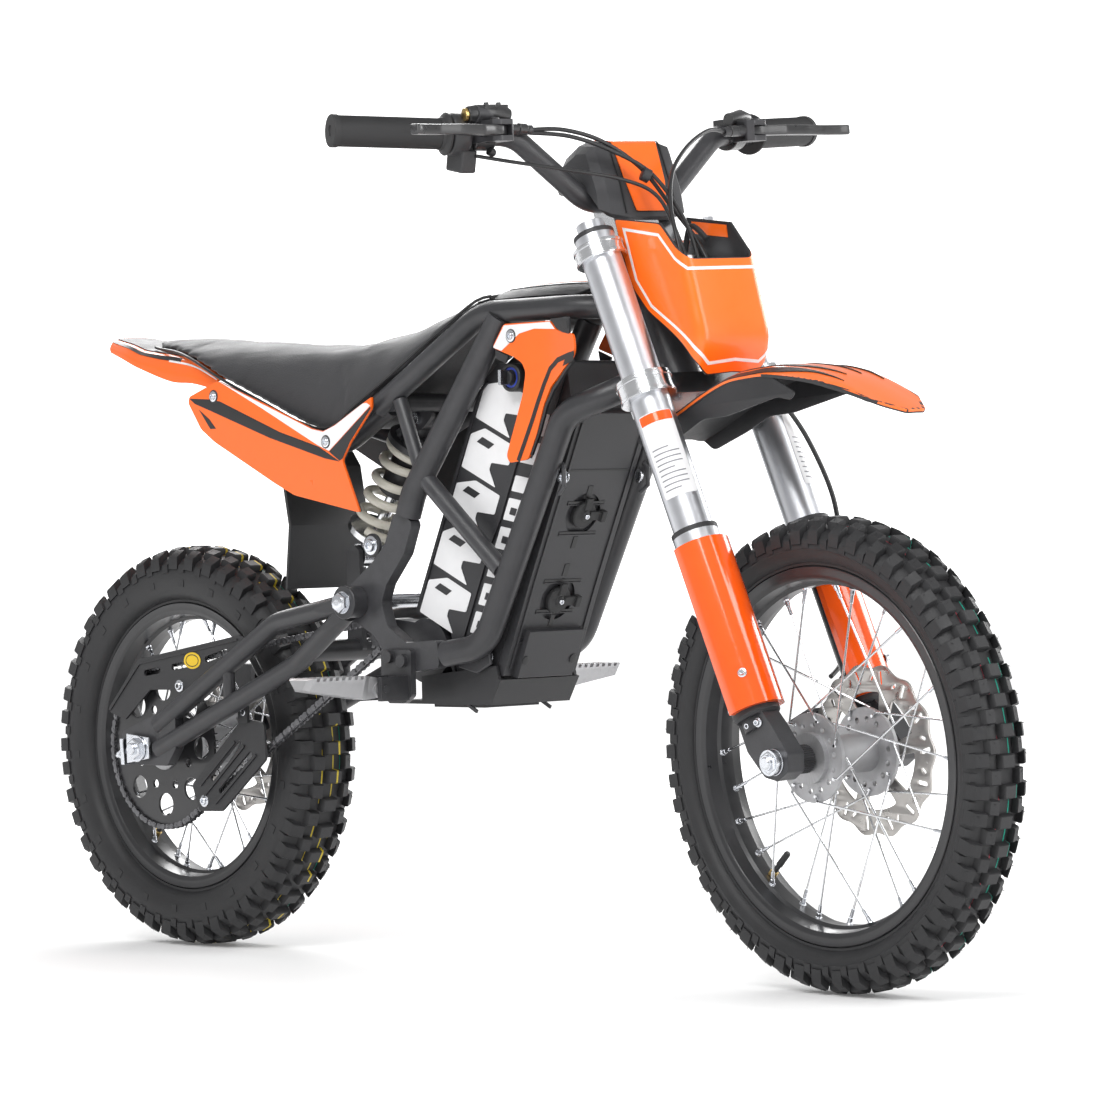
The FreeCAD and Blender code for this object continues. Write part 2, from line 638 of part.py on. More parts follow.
def drive_chain():
    """Roller chain: two side bands and a roller at each pitch."""
    r_rear, r_motor, up, down = chain_geometry()
    rear = V(0, 0, REAR_TYRE_R)
    front = V(MOTOR_SHAFT_X, 0, MOTOR_SHAFT_Z)
    band = chain_loop(3.2).cut(chain_loop(-3.2))
    bands = []
    for y in (CHAIN_Y - 3.6, CHAIN_Y + 2.0):
        side = band.extrude(V(0, 1.6, 0))
        side.translate(V(0, y, 0))
        bands.append(side)
    spots = []
    rests = []
    wraps = ((rear, r_rear, REAR_TEETH, 1, 2 * math.pi - (up - down)), (front, r_motor, MOTOR_TEETH, -1, up - down))
    for centre, r, teeth, way, wrap in wraps:
        step = 2 * math.pi / teeth
        n = int(wrap / step)
        for i in range(n + 1):
            a = up + way * i * step
            spots.append(centre.add(V(r * math.cos(a), 0, r * math.sin(a))))
        rests.append(CHAIN_PITCH - r * (wrap - n * step))
    for angle, gaps in ((up, (CHAIN_PITCH, CHAIN_PITCH)), (down, rests)):
        a = rear.add(V(r_rear * math.cos(angle), 0, r_rear * math.sin(angle)))
        b = front.add(V(r_motor * math.cos(angle), 0, r_motor * math.sin(angle)))
        length = b.sub(a).Length
        span = length - gaps[0] - gaps[1]
        count = int(span / CHAIN_PITCH + 0.5)
        for i in range(count + 1):
            spots.append(a.add(b.sub(a).multiply((gaps[0] + span * i / count) / length)))
    rollers = [pin_y(p.x, p.z, CHAIN_Y - 2, CHAIN_Y + 2, 2.4) for p in spots]
    return Part.makeCompound(bands + rollers)


def swingarm():
    """Twin-tube arm each side, joined in front of the wheel, with dropouts and shock ears."""
    upper = pipe([V(360, 95, 395), V(235, 86, 375), V(24, 86, 257)], 11, 70)
    lower = pipe([V(363, 95, 386), V(270, 86, 330), V(24, 86, 230)], 11, 70)
    boss = pin_y(PIVOT_X, PIVOT_Z, 86.6, 103, 17)
    plate_end = plate([(-36, 212), (44, 212), (60, 232), (60, 276), (40, 276), (-36, 250)], 80, 92, 6)
    strut = cyl(V(150, 86, 328), V(150, 86, 281), 7)
    arm = fused([upper, lower, boss, plate_end, strut])
    arm = arm.cut(pin_y(PIVOT_X, PIVOT_Z, 80, 110, PIVOT_R + RUN))
    arm = arm.cut(pin_y(PIVOT_X, PIVOT_Z, 60, 86.6, 21))
    arm = arm.cut(pin_y(0, REAR_TYRE_R, 70, 110, AXLE_R))
    arm = arm.cut(block(300, 420, 103, 120, 340, 450))
    cross = pin_y(290, 343, -86, 86, 12)
    ear = plate([(277, 340), (303, 340), (300, 452), (290, 460), (280, 452)], 14, 20, 5)
    pin = pin_y(SHOCK_LOW.x, SHOCK_LOW.z, -20, 20, SHOCK_PIN_R)
    return fused([arm, mirrored(arm), cross, ear, mirrored(ear), pin])


def slots_in(body, marks, y0, y1):
    """Cut rounded slots given by two end points each."""
    for x0, z0, x1, z1, r in marks:
        turn = math.atan2(z1 - z0, x1 - x0)
        nx, nz = -math.sin(turn) * r, math.cos(turn) * r
        hole = plate([(x0 + nx, z0 + nz), (x1 + nx, z1 + nz), (x1 - nx, z1 - nz), (x0 - nx, z0 - nz)], y0, y1, 0.95 * r)
        body = body.cut(hole)
    return body


def chain_guards():
    """Upper and lower slotted guards outside the chain."""
    top = plate([(-90, 272), (-30, 332), (150, 360), (188, 352), (160, 330), (89, 298), (-10, 297),
                 (-57, 262)], -71, -68, 5)
    top = slots_in(top, [(-20, 316, 10, 320, 3.5), (30, 323, 70, 329, 3.5), (90, 332, 130, 342, 3.5)], -72, -67)
    low = plate([(62, 190), (74, 160), (114, 161), (192, 221), (191, 262), (154, 267)], -71, -68, 6)
    low = slots_in(low, [(96, 196, 150, 240, 3.5), (110, 182, 168, 228, 3.5)], -72, -67)
    stays = [pin_y(152, 335, -74.9, -71, 4), pin_y(44, 302, -74.9, -71, 4)]
    tab = plate([(150, 262), (166, 262), (166, 288), (150, 282)], -74.5, -71)
    return Part.makeCompound([fused([top] + stays), fused([low, tab])])


def rear_axle():
    x, z = 0, REAR_TYRE_R
    bar = pin_y(x, z, -104, 104, AXLE_R)
    nuts = [pin_y(x, z, 92, 100, 13), pin_y(x, z, -100, -92, 13)]
    spacers = [pin_y(x, z, 62.5, 80, 12), pin_y(x, z, -80, -62.5, 12)]
    return fused([bar] + nuts + spacers)


def rear_caliper():
    """Caliper above the axle with its carrier."""
    body = block(-28, 28, 48, 74, 284, 322)
    arm = plate([(-30, 230), (-14, 247), (18, 247), (26, 284), (26, 318), (-26, 318), (-31, 284)], 72, 74.9, 3)
    foot = pin_y(-22, 240, 72, 80, 5)
    return fused([body, arm, foot]).cut(pin_y(0, REAR_TYRE_R, 54.4, 58.6, 84))


def along_shock(t):
    d = SHOCK_LOW.sub(SHOCK_TOP).normalize()
    return SHOCK_TOP.add(d.multiply(t))


def shock_body():
    """Upper eye, damper body and upper spring seat."""
    eye = pin_y(SHOCK_TOP.x, SHOCK_TOP.z, -13, 13, 13)
    neck = cyl(along_shock(6), along_shock(21), 11)
    can = cyl(along_shock(20), along_shock(98), 19)
    seat_ring = cyl(along_shock(30), along_shock(37), 33)
    body = fused([eye, neck, can, seat_ring])
    body = body.cut(pin_y(SHOCK_TOP.x, SHOCK_TOP.z, -14, 14, SHOCK_PIN_R + RUN))
    return body.cut(cyl(along_shock(60), along_shock(99), 7 + RUN))


def shock_shaft():
    """Rod, lower spring seat and lower eye."""
    rod = cyl(along_shock(84), along_shock(175), 7)
    ring_low = cyl(along_shock(149), along_shock(156), 33)
    neck = cyl(along_shock(149), along_shock(176), 12)
    eye = pin_y(SHOCK_LOW.x, SHOCK_LOW.z, -13, 13, 13)
    body = fused([rod, ring_low, neck, eye])
    return body.cut(pin_y(SHOCK_LOW.x, SHOCK_LOW.z, -14, 14, SHOCK_PIN_R + EYE_SLACK))


def shock_spring():
    """Coil spring between the two seats."""
    wire_r, coil_r, turns = 4.6, 27.5, 5.0
    height = 149 - 37 - 2 * wire_r - 0.6
    helix = Part.makeHelix(height / turns, height, coil_r)
    loop = Part.Wire(Part.makeCircle(wire_r, V(coil_r, 0, 0), V(0, 1, 0)))
    coil = Part.Wire(helix.Edges).makePipeShell([loop], True, True)
    place = FreeCAD.Placement(along_shock(37 + wire_r + 0.3), FreeCAD.Rotation(V(0, 0, 1), SHOCK_LOW.sub(SHOCK_TOP)))
    coil.Placement = place
    return coil


def side_point(p, side):
    return V(p.x, side * p.y, p.z)


def bar_at(t, side):
    """Point t outward from the bend, on the straight end of the bar."""
    d = BAR_END.sub(BAR_BEND).normalize()
    return side_point(BAR_BEND.add(d.multiply(t)), side)


BAR_RUN = BAR_END.sub(BAR_BEND).Length


def handlebar():
    right = [side_point(p, -1) for p in (BAR_END, BAR_BEND, BAR_KNEE)]
    left = [side_point(p, 1) for p in (BAR_KNEE, BAR_BEND, BAR_END)]
    return pipe(right + left, BAR_R, 45)


def bar_pad():
    """Foam pad over the bar clamps."""
    pts = [(612, 1), (608, 12), (688, 18), (704, -10), (694, -52), (668, -60), (657, -40), (657, 1)]
    body = fork_plate(pts, -50, 50, 3)
    for side in (-1, 1):
        wedge = [V(640, side * 34, 780), V(790, side * 34, 780), V(790, side * 52, 840), V(640, side * 52, 840)]
        outer = Part.Face(Part.makePolygon(wedge + [wedge[0]])).extrude(V(0, side * 40, 0))
        body = body.cut(outer)
    return body


def left_grip():
    body = cyl(bar_at(72, 1), bar_at(BAR_RUN, 1), 16).cut(cyl(bar_at(70, 1), bar_at(BAR_RUN, 1), BAR_R))
    flange = cyl(bar_at(72, 1), bar_at(76, 1), 22).cut(cyl(bar_at(70, 1), bar_at(78, 1), BAR_R))
    cap = cyl(bar_at(BAR_RUN, 1), bar_at(BAR_RUN + 4, 1), 17)
    return fused([body, flange, cap])


def throttle_grip():
    """Twist grip that turns on the bar."""
    body = cyl(bar_at(72, -1), bar_at(BAR_RUN + 4.5, -1), 16)
    flange = cyl(bar_at(72, -1), bar_at(76, -1), 22)
    return fused([body, flange]).cut(cyl(bar_at(70, -1), bar_at(BAR_RUN + 0.4, -1), BAR_R + RUN))


def throttle_housing():
    """Throttle body beside the grip, with the sensor box under the bar."""
    drum = cyl(bar_at(52, -1), bar_at(71.4, -1), 21)
    box = block(664, 692, -200, -182, 848, 872)
    return fused([drum, box]).cut(cyl(bar_at(50, -1), bar_at(73, -1), BAR_R))


LEVER_PIVOT = V(722, 178, 885)


def lever_perches():
    """Clamp and arm for each lever; the right one carries the brake cylinder."""
    made = []
    for side in (-1, 1):
        clamp = cyl(bar_at(24, side), bar_at(44, side), 16)
        y0, y1 = sorted((side * 160, side * 186))
        arm = slab([(692, y0), (728, y0), (734, y0 + 6), (734, y1 - 4), (728, y1), (692, y1)], 874, 896, 3)
        parts = [clamp, arm]
        if side < 0:
            parts.append(cyl(V(704, -150, 903), V(704, -190, 903), 9))
            parts.append(cyl(V(718, -128, 886), V(714, -164, 886), 5))
        else:
            parts.append(cyl(V(722, 132, 884), V(722, 164, 884), 5))
        body = fused(parts).cut(handlebar())
        sweep0, sweep1 = sorted((side * 166, side * 200))
        body = body.cut(block(706, 746, sweep0, sweep1, 879.5, 890.5))
        pin = cyl(V(LEVER_PIVOT.x, side * LEVER_PIVOT.y, 874), V(LEVER_PIVOT.x, side * LEVER_PIVOT.y, 896), 3)
        made.append(fused([body, pin]))
    return Part.makeCompound(made)


def brake_lever(side):
    """Blade that turns on the perch pin."""
    p = LEVER_PIVOT
    ys = [(p.y - 8, 717, 729), (p.y + 8, 716, 732), (p.y + 30, 722, 737), (p.y + 90, 722, 734), (p.y + 118, 726, 738)]
    back = [(x0, side * y) for y, x0, x1 in ys]
    front = [(x1, side * y) for y, x0, x1 in reversed(ys)]
    blade = slab(back + front, 880, 890, 3)
    boss = cyl(V(p.x, side * p.y, 880), V(p.x, side * p.y, 890), 9)
    return fused([blade, boss]).cut(cyl(V(p.x, side * p.y, 870), V(p.x, side * p.y, 900), 3 + RUN))


def number_plate():
    """Front plate wrapped back at both sides, with its bracket."""
    outer = plate([(752, 791), (820, 783), (859, 744), (878, 663), (866, 626), (800, 690), (773, 717)], -50, 50)
    inner = plate([(700, 900), (853, 790), (855.5, 744), (874.5, 663), (862, 626), (860, 580), (700, 580)], -47, 47)
    shell = outer.cut(inner)
    shape = [V(700, -50, 800), V(700, 50, 800), V(700, 50, 690), V(700, 33, 620), V(700, -33, 620),
             V(700, -50, 690)]
    keep = Part.Face(Part.makePolygon(shape + [shape[0]])).extrude(V(250, 0, 0))
    tab = plate([(829, 629), (866, 640), (866, 646), (827, 637)], -12, 12)
    return fused([shell.common(keep), tab])


def front_fender():
    """High front fender with short side walls, hung under the lower clamp."""
    line = [(772, 566), (836, 598), (905, 627), (975, 632), (1060, 615), (1134, 580)]
    top = line + [(x, z - 3.5) for x, z in reversed(line)]
    skin = plate(top, -50, 50)
    wall = plate([(772, 566), (836, 598), (905, 627), (975, 632), (1020, 624), (1000, 606), (900, 590), (836, 575),
                  (785, 555)], 47, 50)
    plan = slab([(760, -38), (836, -50), (1010, -50), (1100, -36), (1136, -16), (1136, 16), (1100, 36),
                 (1010, 50), (836, 50), (760, 38)], 540, 660)
    mount = fork_block(388, 404, -36, -6, -22, 22)
    return fused([fused([skin, wall, mirrored(wall)]).common(plan), mount])


def control_cables():
    """Cables from the two perches, crossing at a clip, down to the lower clamp."""
    right = pipe([V(718, -127, 886), V(742, -62, 868), V(764, -4, 828), V(798, 24, 770), V(834, 24, 690),
                  V(842, 24, 634)], 2.6, 60)
    left = pipe([V(722, 131, 884), V(744, 66, 868), V(784, 8, 838), V(814, -18, 772), V(842, -26, 690),
                 V(848, -26, 634)], 2.6, 60)
    throttle = pipe([V(695, -188, 860), V(738, -110, 846), V(772, -16, 812), V(797, -4, 765), V(826, 0, 700),
                     V(834, 0, 652)], 2.6, 60)
    return Part.makeCompound([right, left, throttle])


def front_brake_hose():
    """Hose from the clip at the lower clamp to the front caliper."""
    return pipe([V(850, 58, 624), V(880, 86, 560), V(893, 113, 450), V(900, 113, 345), V(917, 69, 312)], 2.6, 50)


REAR_NODES = {
    "frame": frame_members,
    "pivot_castings": pivot_castings,
    "pivot_bolts": pivot_bolts,
    "battery_case": battery_case,
    "battery_cover": battery_cover,
    "upper_latch": lambda: latch(LATCHES[0]),
    "lower_latch": lambda: latch(LATCHES[1]),
    "drive_motor": drive_motor,
    "skid_plate": skid_plate,
    "seat": seat,
    "tank_cover": tank_cover,
    "right_shroud": right_shroud,
    "left_shroud": lambda: mirrored(right_shroud()),
    "rear_fender": rear_fender,
    "side_panels": side_panels,
    "inner_fender": inner_fender,
    "ignition_lock": ignition_lock,
    "ignition_key": ignition_key,
    "footpeg_hangers": footpeg_hangers,
    "right_footpeg": right_footpeg,
    "left_footpeg": lambda: mirrored(right_footpeg()),
    "motor_sprocket": motor_sprocket,
    "swingarm": swingarm,
    "drive_chain": drive_chain,
    "chain_guards": chain_guards,
    "rear_axle": rear_axle,
    "rear_caliper": rear_caliper,
    "rear_tyre": lambda: tyre(0, REAR_TYRE_R, REAR_TYRE_HALF_W, REAR_LIP_R, REAR_RIM_HALF_W),
    "rear_rim": lambda: rim(0, REAR_TYRE_R, REAR_LIP_R, REAR_RIM_HALF_W),
    "rear_spokes": lambda: spokes(0, REAR_TYRE_R, REAR_LIP_R, 38),
    "rear_hub": lambda: hub(0, REAR_TYRE_R, -38, 38, 22, -62, 62),
    "rear_sprocket": rear_sprocket,
    "rear_disc": lambda: disc(0, REAR_TYRE_R, 55, 58, 80, 58, 26),
    "shock_body": shock_body,
    "shock_shaft": shock_shaft,
    "shock_spring": shock_spring,
}

FRONT_NODES = {
    "steering_stem": steering_stem,
    "upper_clamp": upper_clamp,
    "fork_outer_tubes": fork_outer_tubes,
    "handlebar": handlebar,
    "bar_pad": bar_pad,
    "left_grip": left_grip,
    "throttle_grip": throttle_grip,
    "throttle_housing": throttle_housing,
    "lever_perches": lever_perches,
    "right_brake_lever": lambda: brake_lever(-1),
    "left_brake_lever": lambda: brake_lever(1),
    "number_plate": number_plate,
    "front_fender": front_fender,
    "control_cables": control_cables,
    "front_brake_hose": front_brake_hose,
    "fork_legs": fork_legs,
    "fork_guards": fork_guards,
    "front_axle": front_axle,
    "front_caliper": front_caliper,
    "front_tyre": lambda: tyre(WHEELBASE, FRONT_TYRE_R, FRONT_TYRE_HALF_W, FRONT_LIP_R, FRONT_RIM_HALF_W),
    "front_rim": lambda: rim(WHEELBASE, FRONT_TYRE_R, FRONT_LIP_R, FRONT_RIM_HALF_W),
    "front_spokes": lambda: spokes(WHEELBASE, FRONT_TYRE_R, FRONT_LIP_R, 37),
    "front_hub": lambda: hub(WHEELBASE, FRONT_TYRE_R, -37, 37, 20, -45, 50),
    "front_disc": lambda: disc(WHEELBASE, FRONT_TYRE_R, 45.5, 48.5, 88, 64, 26),
}


def build_all():
    shapes = {}
    for name, make in REAR_NODES.items():
        shapes[name] = make()
    for name, make in FRONT_NODES.items():
        shape = make()
        shape.rotate(V(STEER_X, 0, STEER_Z), STEER_AXIS, STEER_REST)
        shapes[name] = shape
    return shapes


def bounds(shapes):
    box = FreeCAD.BoundBox()
    for shape in shapes.values():
        box.add(shape.optimalBoundingBox(False, False))
    return box


os.makedirs("parts", exist_ok=True)
made = build_all()
limits = bounds(made)
shift = V(-(limits.XMin + limits.XMax) / 2, -(limits.YMin + limits.YMax) / 2, -limits.ZMin)
for name, shape in made.items():
    shape.translate(shift)
    shape.exportStep("parts/" + name + ".step")
print("shift", shift.x, shift.y, shift.z, "size", limits.XLength, limits.YLength, limits.ZLength)
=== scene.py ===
import json
import math
import random

import bpy
import bmesh
from mathutils import Matrix, Vector, noise


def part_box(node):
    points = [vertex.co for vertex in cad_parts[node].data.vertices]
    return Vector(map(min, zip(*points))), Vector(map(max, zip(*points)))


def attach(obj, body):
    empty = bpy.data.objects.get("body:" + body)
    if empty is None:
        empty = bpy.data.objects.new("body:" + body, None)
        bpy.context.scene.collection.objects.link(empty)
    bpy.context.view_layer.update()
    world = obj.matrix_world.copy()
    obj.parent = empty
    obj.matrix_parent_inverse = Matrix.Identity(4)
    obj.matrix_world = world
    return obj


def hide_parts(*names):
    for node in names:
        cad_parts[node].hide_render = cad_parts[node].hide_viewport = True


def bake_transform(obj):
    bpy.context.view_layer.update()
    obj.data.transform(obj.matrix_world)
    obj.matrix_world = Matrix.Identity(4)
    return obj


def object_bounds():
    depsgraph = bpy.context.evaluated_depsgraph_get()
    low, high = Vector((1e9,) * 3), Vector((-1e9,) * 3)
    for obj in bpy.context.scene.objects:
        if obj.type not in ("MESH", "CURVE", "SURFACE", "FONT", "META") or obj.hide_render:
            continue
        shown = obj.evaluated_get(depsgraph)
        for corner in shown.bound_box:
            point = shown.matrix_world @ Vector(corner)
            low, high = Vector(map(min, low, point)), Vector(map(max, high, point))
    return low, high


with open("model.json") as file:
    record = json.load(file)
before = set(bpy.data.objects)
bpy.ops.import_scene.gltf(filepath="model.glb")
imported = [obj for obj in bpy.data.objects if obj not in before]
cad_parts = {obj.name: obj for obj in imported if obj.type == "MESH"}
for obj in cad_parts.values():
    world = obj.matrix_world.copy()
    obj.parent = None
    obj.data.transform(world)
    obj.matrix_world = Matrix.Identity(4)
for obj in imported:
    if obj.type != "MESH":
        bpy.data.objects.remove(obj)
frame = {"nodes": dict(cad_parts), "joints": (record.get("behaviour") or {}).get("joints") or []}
CAD_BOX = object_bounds()
random.seed(7)

# Lengths are millimetres in the bike's design frame: rear axle at x = 0, ground at z = 0, middle plane
# at y = 0, X forward and Y to the rider's left. place() turns them into metres in the row frame.
MM = 0.001
REAR_LOW, REAR_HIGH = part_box("rear_tyre")
ORIGIN = Vector(((REAR_LOW.x + REAR_HIGH.x) / 2, (REAR_LOW.y + REAR_HIGH.y) / 2, REAR_LOW.z))
JOINTS = {joint["name"]: joint for joint in frame["joints"]}
STEER_AXIS = Vector(JOINTS["steering"]["axis"])
STEER_POINT = Vector(JOINTS["steering"]["pos_m"])
STEER_REST = math.radians(-5.0)
STEER_TURN = (Matrix.Translation(STEER_POINT) @ Matrix.Rotation(STEER_REST, 4, STEER_AXIS)
              @ Matrix.Translation(-STEER_POINT))

WHEELBASE = 1000.0
FRONT_R, FRONT_HALF = 240.0, 35.0
REAR_R, REAR_HALF = 231.0, 42.0
FRONT_LIP, FRONT_RIM = 190.4, 24.0
REAR_LIP, REAR_RIM = 164.9, 27.0
RAKE = math.radians(23.78)
UP = Vector((-math.sin(RAKE), 0, math.cos(RAKE)))
AHEAD = Vector((math.cos(RAKE), 0, math.sin(RAKE)))
FORK_FOOT = Vector((986.3, 0, 234.1))
FORK_HALF = 76.4


def fork(s, o=0.0, y=0.0):
    """Point s up the fork line, o in front of it, y to the left."""
    return FORK_FOOT + UP * s + AHEAD * o + Vector((0, y, 0))


def place(p, front=False):
    """Design millimetres to row-frame metres; front parts are turned with the steering."""
    q = Vector(p) * MM + ORIGIN
    return STEER_TURN @ q if front else q


# ---------------------------------------------------------------- materials

def nodes_of(name):
    mat = bpy.data.materials.new(name)
    mat.use_nodes = True
    tree = mat.node_tree
    return mat, tree, tree.nodes["Principled BSDF"]


def add(tree, kind, **values):
    node = tree.nodes.new(kind)
    for key, value in values.items():
        if isinstance(key, str) and hasattr(node, key):
            setattr(node, key, value)
        else:
            node.inputs[key.replace("_", " ")].default_value = value
    return node


def finish(name, colour, rough, metal=0.0, coat=0.0, tint=0.12, grain=0.15, scale=60.0, fine=900.0,
           spread=0.12, specular=0.5, bevel=0.5, wear=0.0, wear_colour=(0.5, 0.5, 0.5), sheen=0.0, aniso=0.0):
    """Painted, moulded or metal surface with uneven colour and roughness, fine bump and worn edges."""
    mat, tree, shader = nodes_of(name)
    link = tree.links.new
    coords = add(tree, "ShaderNodeTexCoord")
    cloud = add(tree, "ShaderNodeTexNoise", Scale=scale, Detail=5.0, Roughness=0.6)
    link(coords.outputs["Object"], cloud.inputs["Vector"])
    grit = add(tree, "ShaderNodeTexNoise", Scale=fine, Detail=3.0, Roughness=0.7)
    link(coords.outputs["Object"], grit.inputs["Vector"])
    shade = add(tree, "ShaderNodeMix", data_type="RGBA")
    dark = [c * (1 - tint) for c in colour]
    light = [min(1.0, c * (1 + tint) + 0.004) for c in colour]
    shade.inputs["A"].default_value = (*dark, 1)
    shade.inputs["B"].default_value = (*light, 1)
    link(cloud.outputs["Fac"], shade.inputs["Factor"])
    colour_out = shade.outputs["Result"]
    if wear > 0:
        geometry = add(tree, "ShaderNodeNewGeometry")
        edge = add(tree, "ShaderNodeMapRange", From_Min=0.53, From_Max=0.60, To_Min=0.0, To_Max=wear)
        link(geometry.outputs["Pointiness"], edge.inputs["Value"])
        rub = add(tree, "ShaderNodeMath", operation="MULTIPLY")
        link(edge.outputs["Result"], rub.inputs[0])
        link(cloud.outputs["Fac"], rub.inputs[1])
        worn = add(tree, "ShaderNodeMix", data_type="RGBA")
        worn.inputs["B"].default_value = (*wear_colour, 1)
        link(rub.outputs[0], worn.inputs["Factor"])
        link(colour_out, worn.inputs["A"])
        colour_out = worn.outputs["Result"]
    link(colour_out, shader.inputs["Base Color"])
    gloss = add(tree, "ShaderNodeMapRange", To_Min=max(0.02, rough - spread), To_Max=min(1.0, rough + spread))
    link(cloud.outputs["Fac"], gloss.inputs["Value"])
    link(gloss.outputs["Result"], shader.inputs["Roughness"])
    bump = add(tree, "ShaderNodeBump", Strength=grain, Distance=0.0004)
    link(grit.outputs["Fac"], bump.inputs["Height"])
    if bevel > 0:
        soft = add(tree, "ShaderNodeBevel", samples=4, Radius=bevel * MM)
        link(soft.outputs["Normal"], bump.inputs["Normal"])
    link(bump.outputs["Normal"], shader.inputs["Normal"])
    shader.inputs["Metallic"].default_value = metal
    shader.inputs["Coat Weight"].default_value = coat
    shader.inputs["Coat Roughness"].default_value = 0.08
    shader.inputs["Specular IOR Level"].default_value = specular
    shader.inputs["Sheen Weight"].default_value = sheen
    shader.inputs["Anisotropic"].default_value = aniso
    return mat


ORANGE = finish("orange_plastic", (0.95, 0.135, 0.003), 0.30, coat=0.25, tint=0.05, grain=0.05, spread=0.06)
ORANGE_GLOSS = finish("orange_gloss", (0.95, 0.10, 0.002), 0.14, coat=0.7, tint=0.04, grain=0.02, spread=0.04)
WHITE = finish("white_graphic", (0.78, 0.78, 0.79), 0.35, tint=0.05, grain=0.03, bevel=0)
SILVER_LINE = finish("silver_graphic", (0.62, 0.63, 0.66), 0.3, metal=0.4, tint=0.05, grain=0.03, bevel=0)
DARK_LINE = finish("black_graphic", (0.012, 0.012, 0.013), 0.35, tint=0.1, grain=0.04, bevel=0)
BLACK = finish("black_plastic", (0.020, 0.020, 0.022), 0.48, tint=0.2, grain=0.35, fine=1400)
PANEL = finish("case_black", (0.028, 0.028, 0.031), 0.42, tint=0.15, grain=0.25, fine=1300)
FRAME = finish("frame_black", (0.030, 0.030, 0.033), 0.36, tint=0.18, grain=0.22, fine=1600, bevel=0.8,
               wear=0.25, wear_colour=(0.12, 0.12, 0.13))
SILVER = finish("satin_silver", (0.60, 0.61, 0.64), 0.34, metal=1.0, tint=0.05, grain=0.10, fine=2200,
                spread=0.06, aniso=0.3)
POLISHED = finish("polished_alloy", (0.74, 0.75, 0.77), 0.17, metal=1.0, tint=0.05, grain=0.08, spread=0.06)
CAST = finish("cast_alloy", (0.42, 0.42, 0.43), 0.50, metal=0.9, tint=0.15, grain=0.7, fine=1100,
              wear=0.5, wear_colour=(0.75, 0.75, 0.77))
ZINC = finish("zinc_bolt", (0.70, 0.72, 0.76), 0.22, metal=1.0, tint=0.12, grain=0.12, scale=160)
CHROME = finish("spoke_chrome", (0.78, 0.79, 0.81), 0.14, metal=1.0, tint=0.05, grain=0.03, spread=0.05)
BRASS = finish("brass", (0.60, 0.42, 0.16), 0.3, metal=1.0, tint=0.1, grain=0.1)
DISC = finish("disc_steel", (0.52, 0.50, 0.48), 0.30, metal=1.0, tint=0.1, grain=0.18, fine=1800, aniso=0.4)
CHAIN = finish("chain_steel", (0.10, 0.10, 0.105), 0.38, metal=0.9, tint=0.25, grain=0.3, wear=0.5,
               wear_colour=(0.4, 0.4, 0.42))
RUBBER = finish("grip_rubber", (0.018, 0.018, 0.019), 0.62, tint=0.2, grain=0.3)
HOSE = finish("cable_black", (0.015, 0.015, 0.016), 0.38, tint=0.1, grain=0.08)
VINYL = finish("seat_vinyl", (0.028, 0.028, 0.031), 0.55, tint=0.12, grain=0.9, scale=30, fine=520, bevel=0,
               sheen=0.15)
CREAM = finish("spring_cream", (0.70, 0.67, 0.58), 0.30, coat=0.4, tint=0.05, grain=0.08)
RED = finish("red_detail", (0.55, 0.01, 0.01), 0.3, coat=0.3, tint=0.1)
BLUE = finish("blue_detail", (0.02, 0.05, 0.40), 0.35, tint=0.1)
YELLOW = finish("yellow_detail", (0.75, 0.50, 0.01), 0.4, tint=0.1)


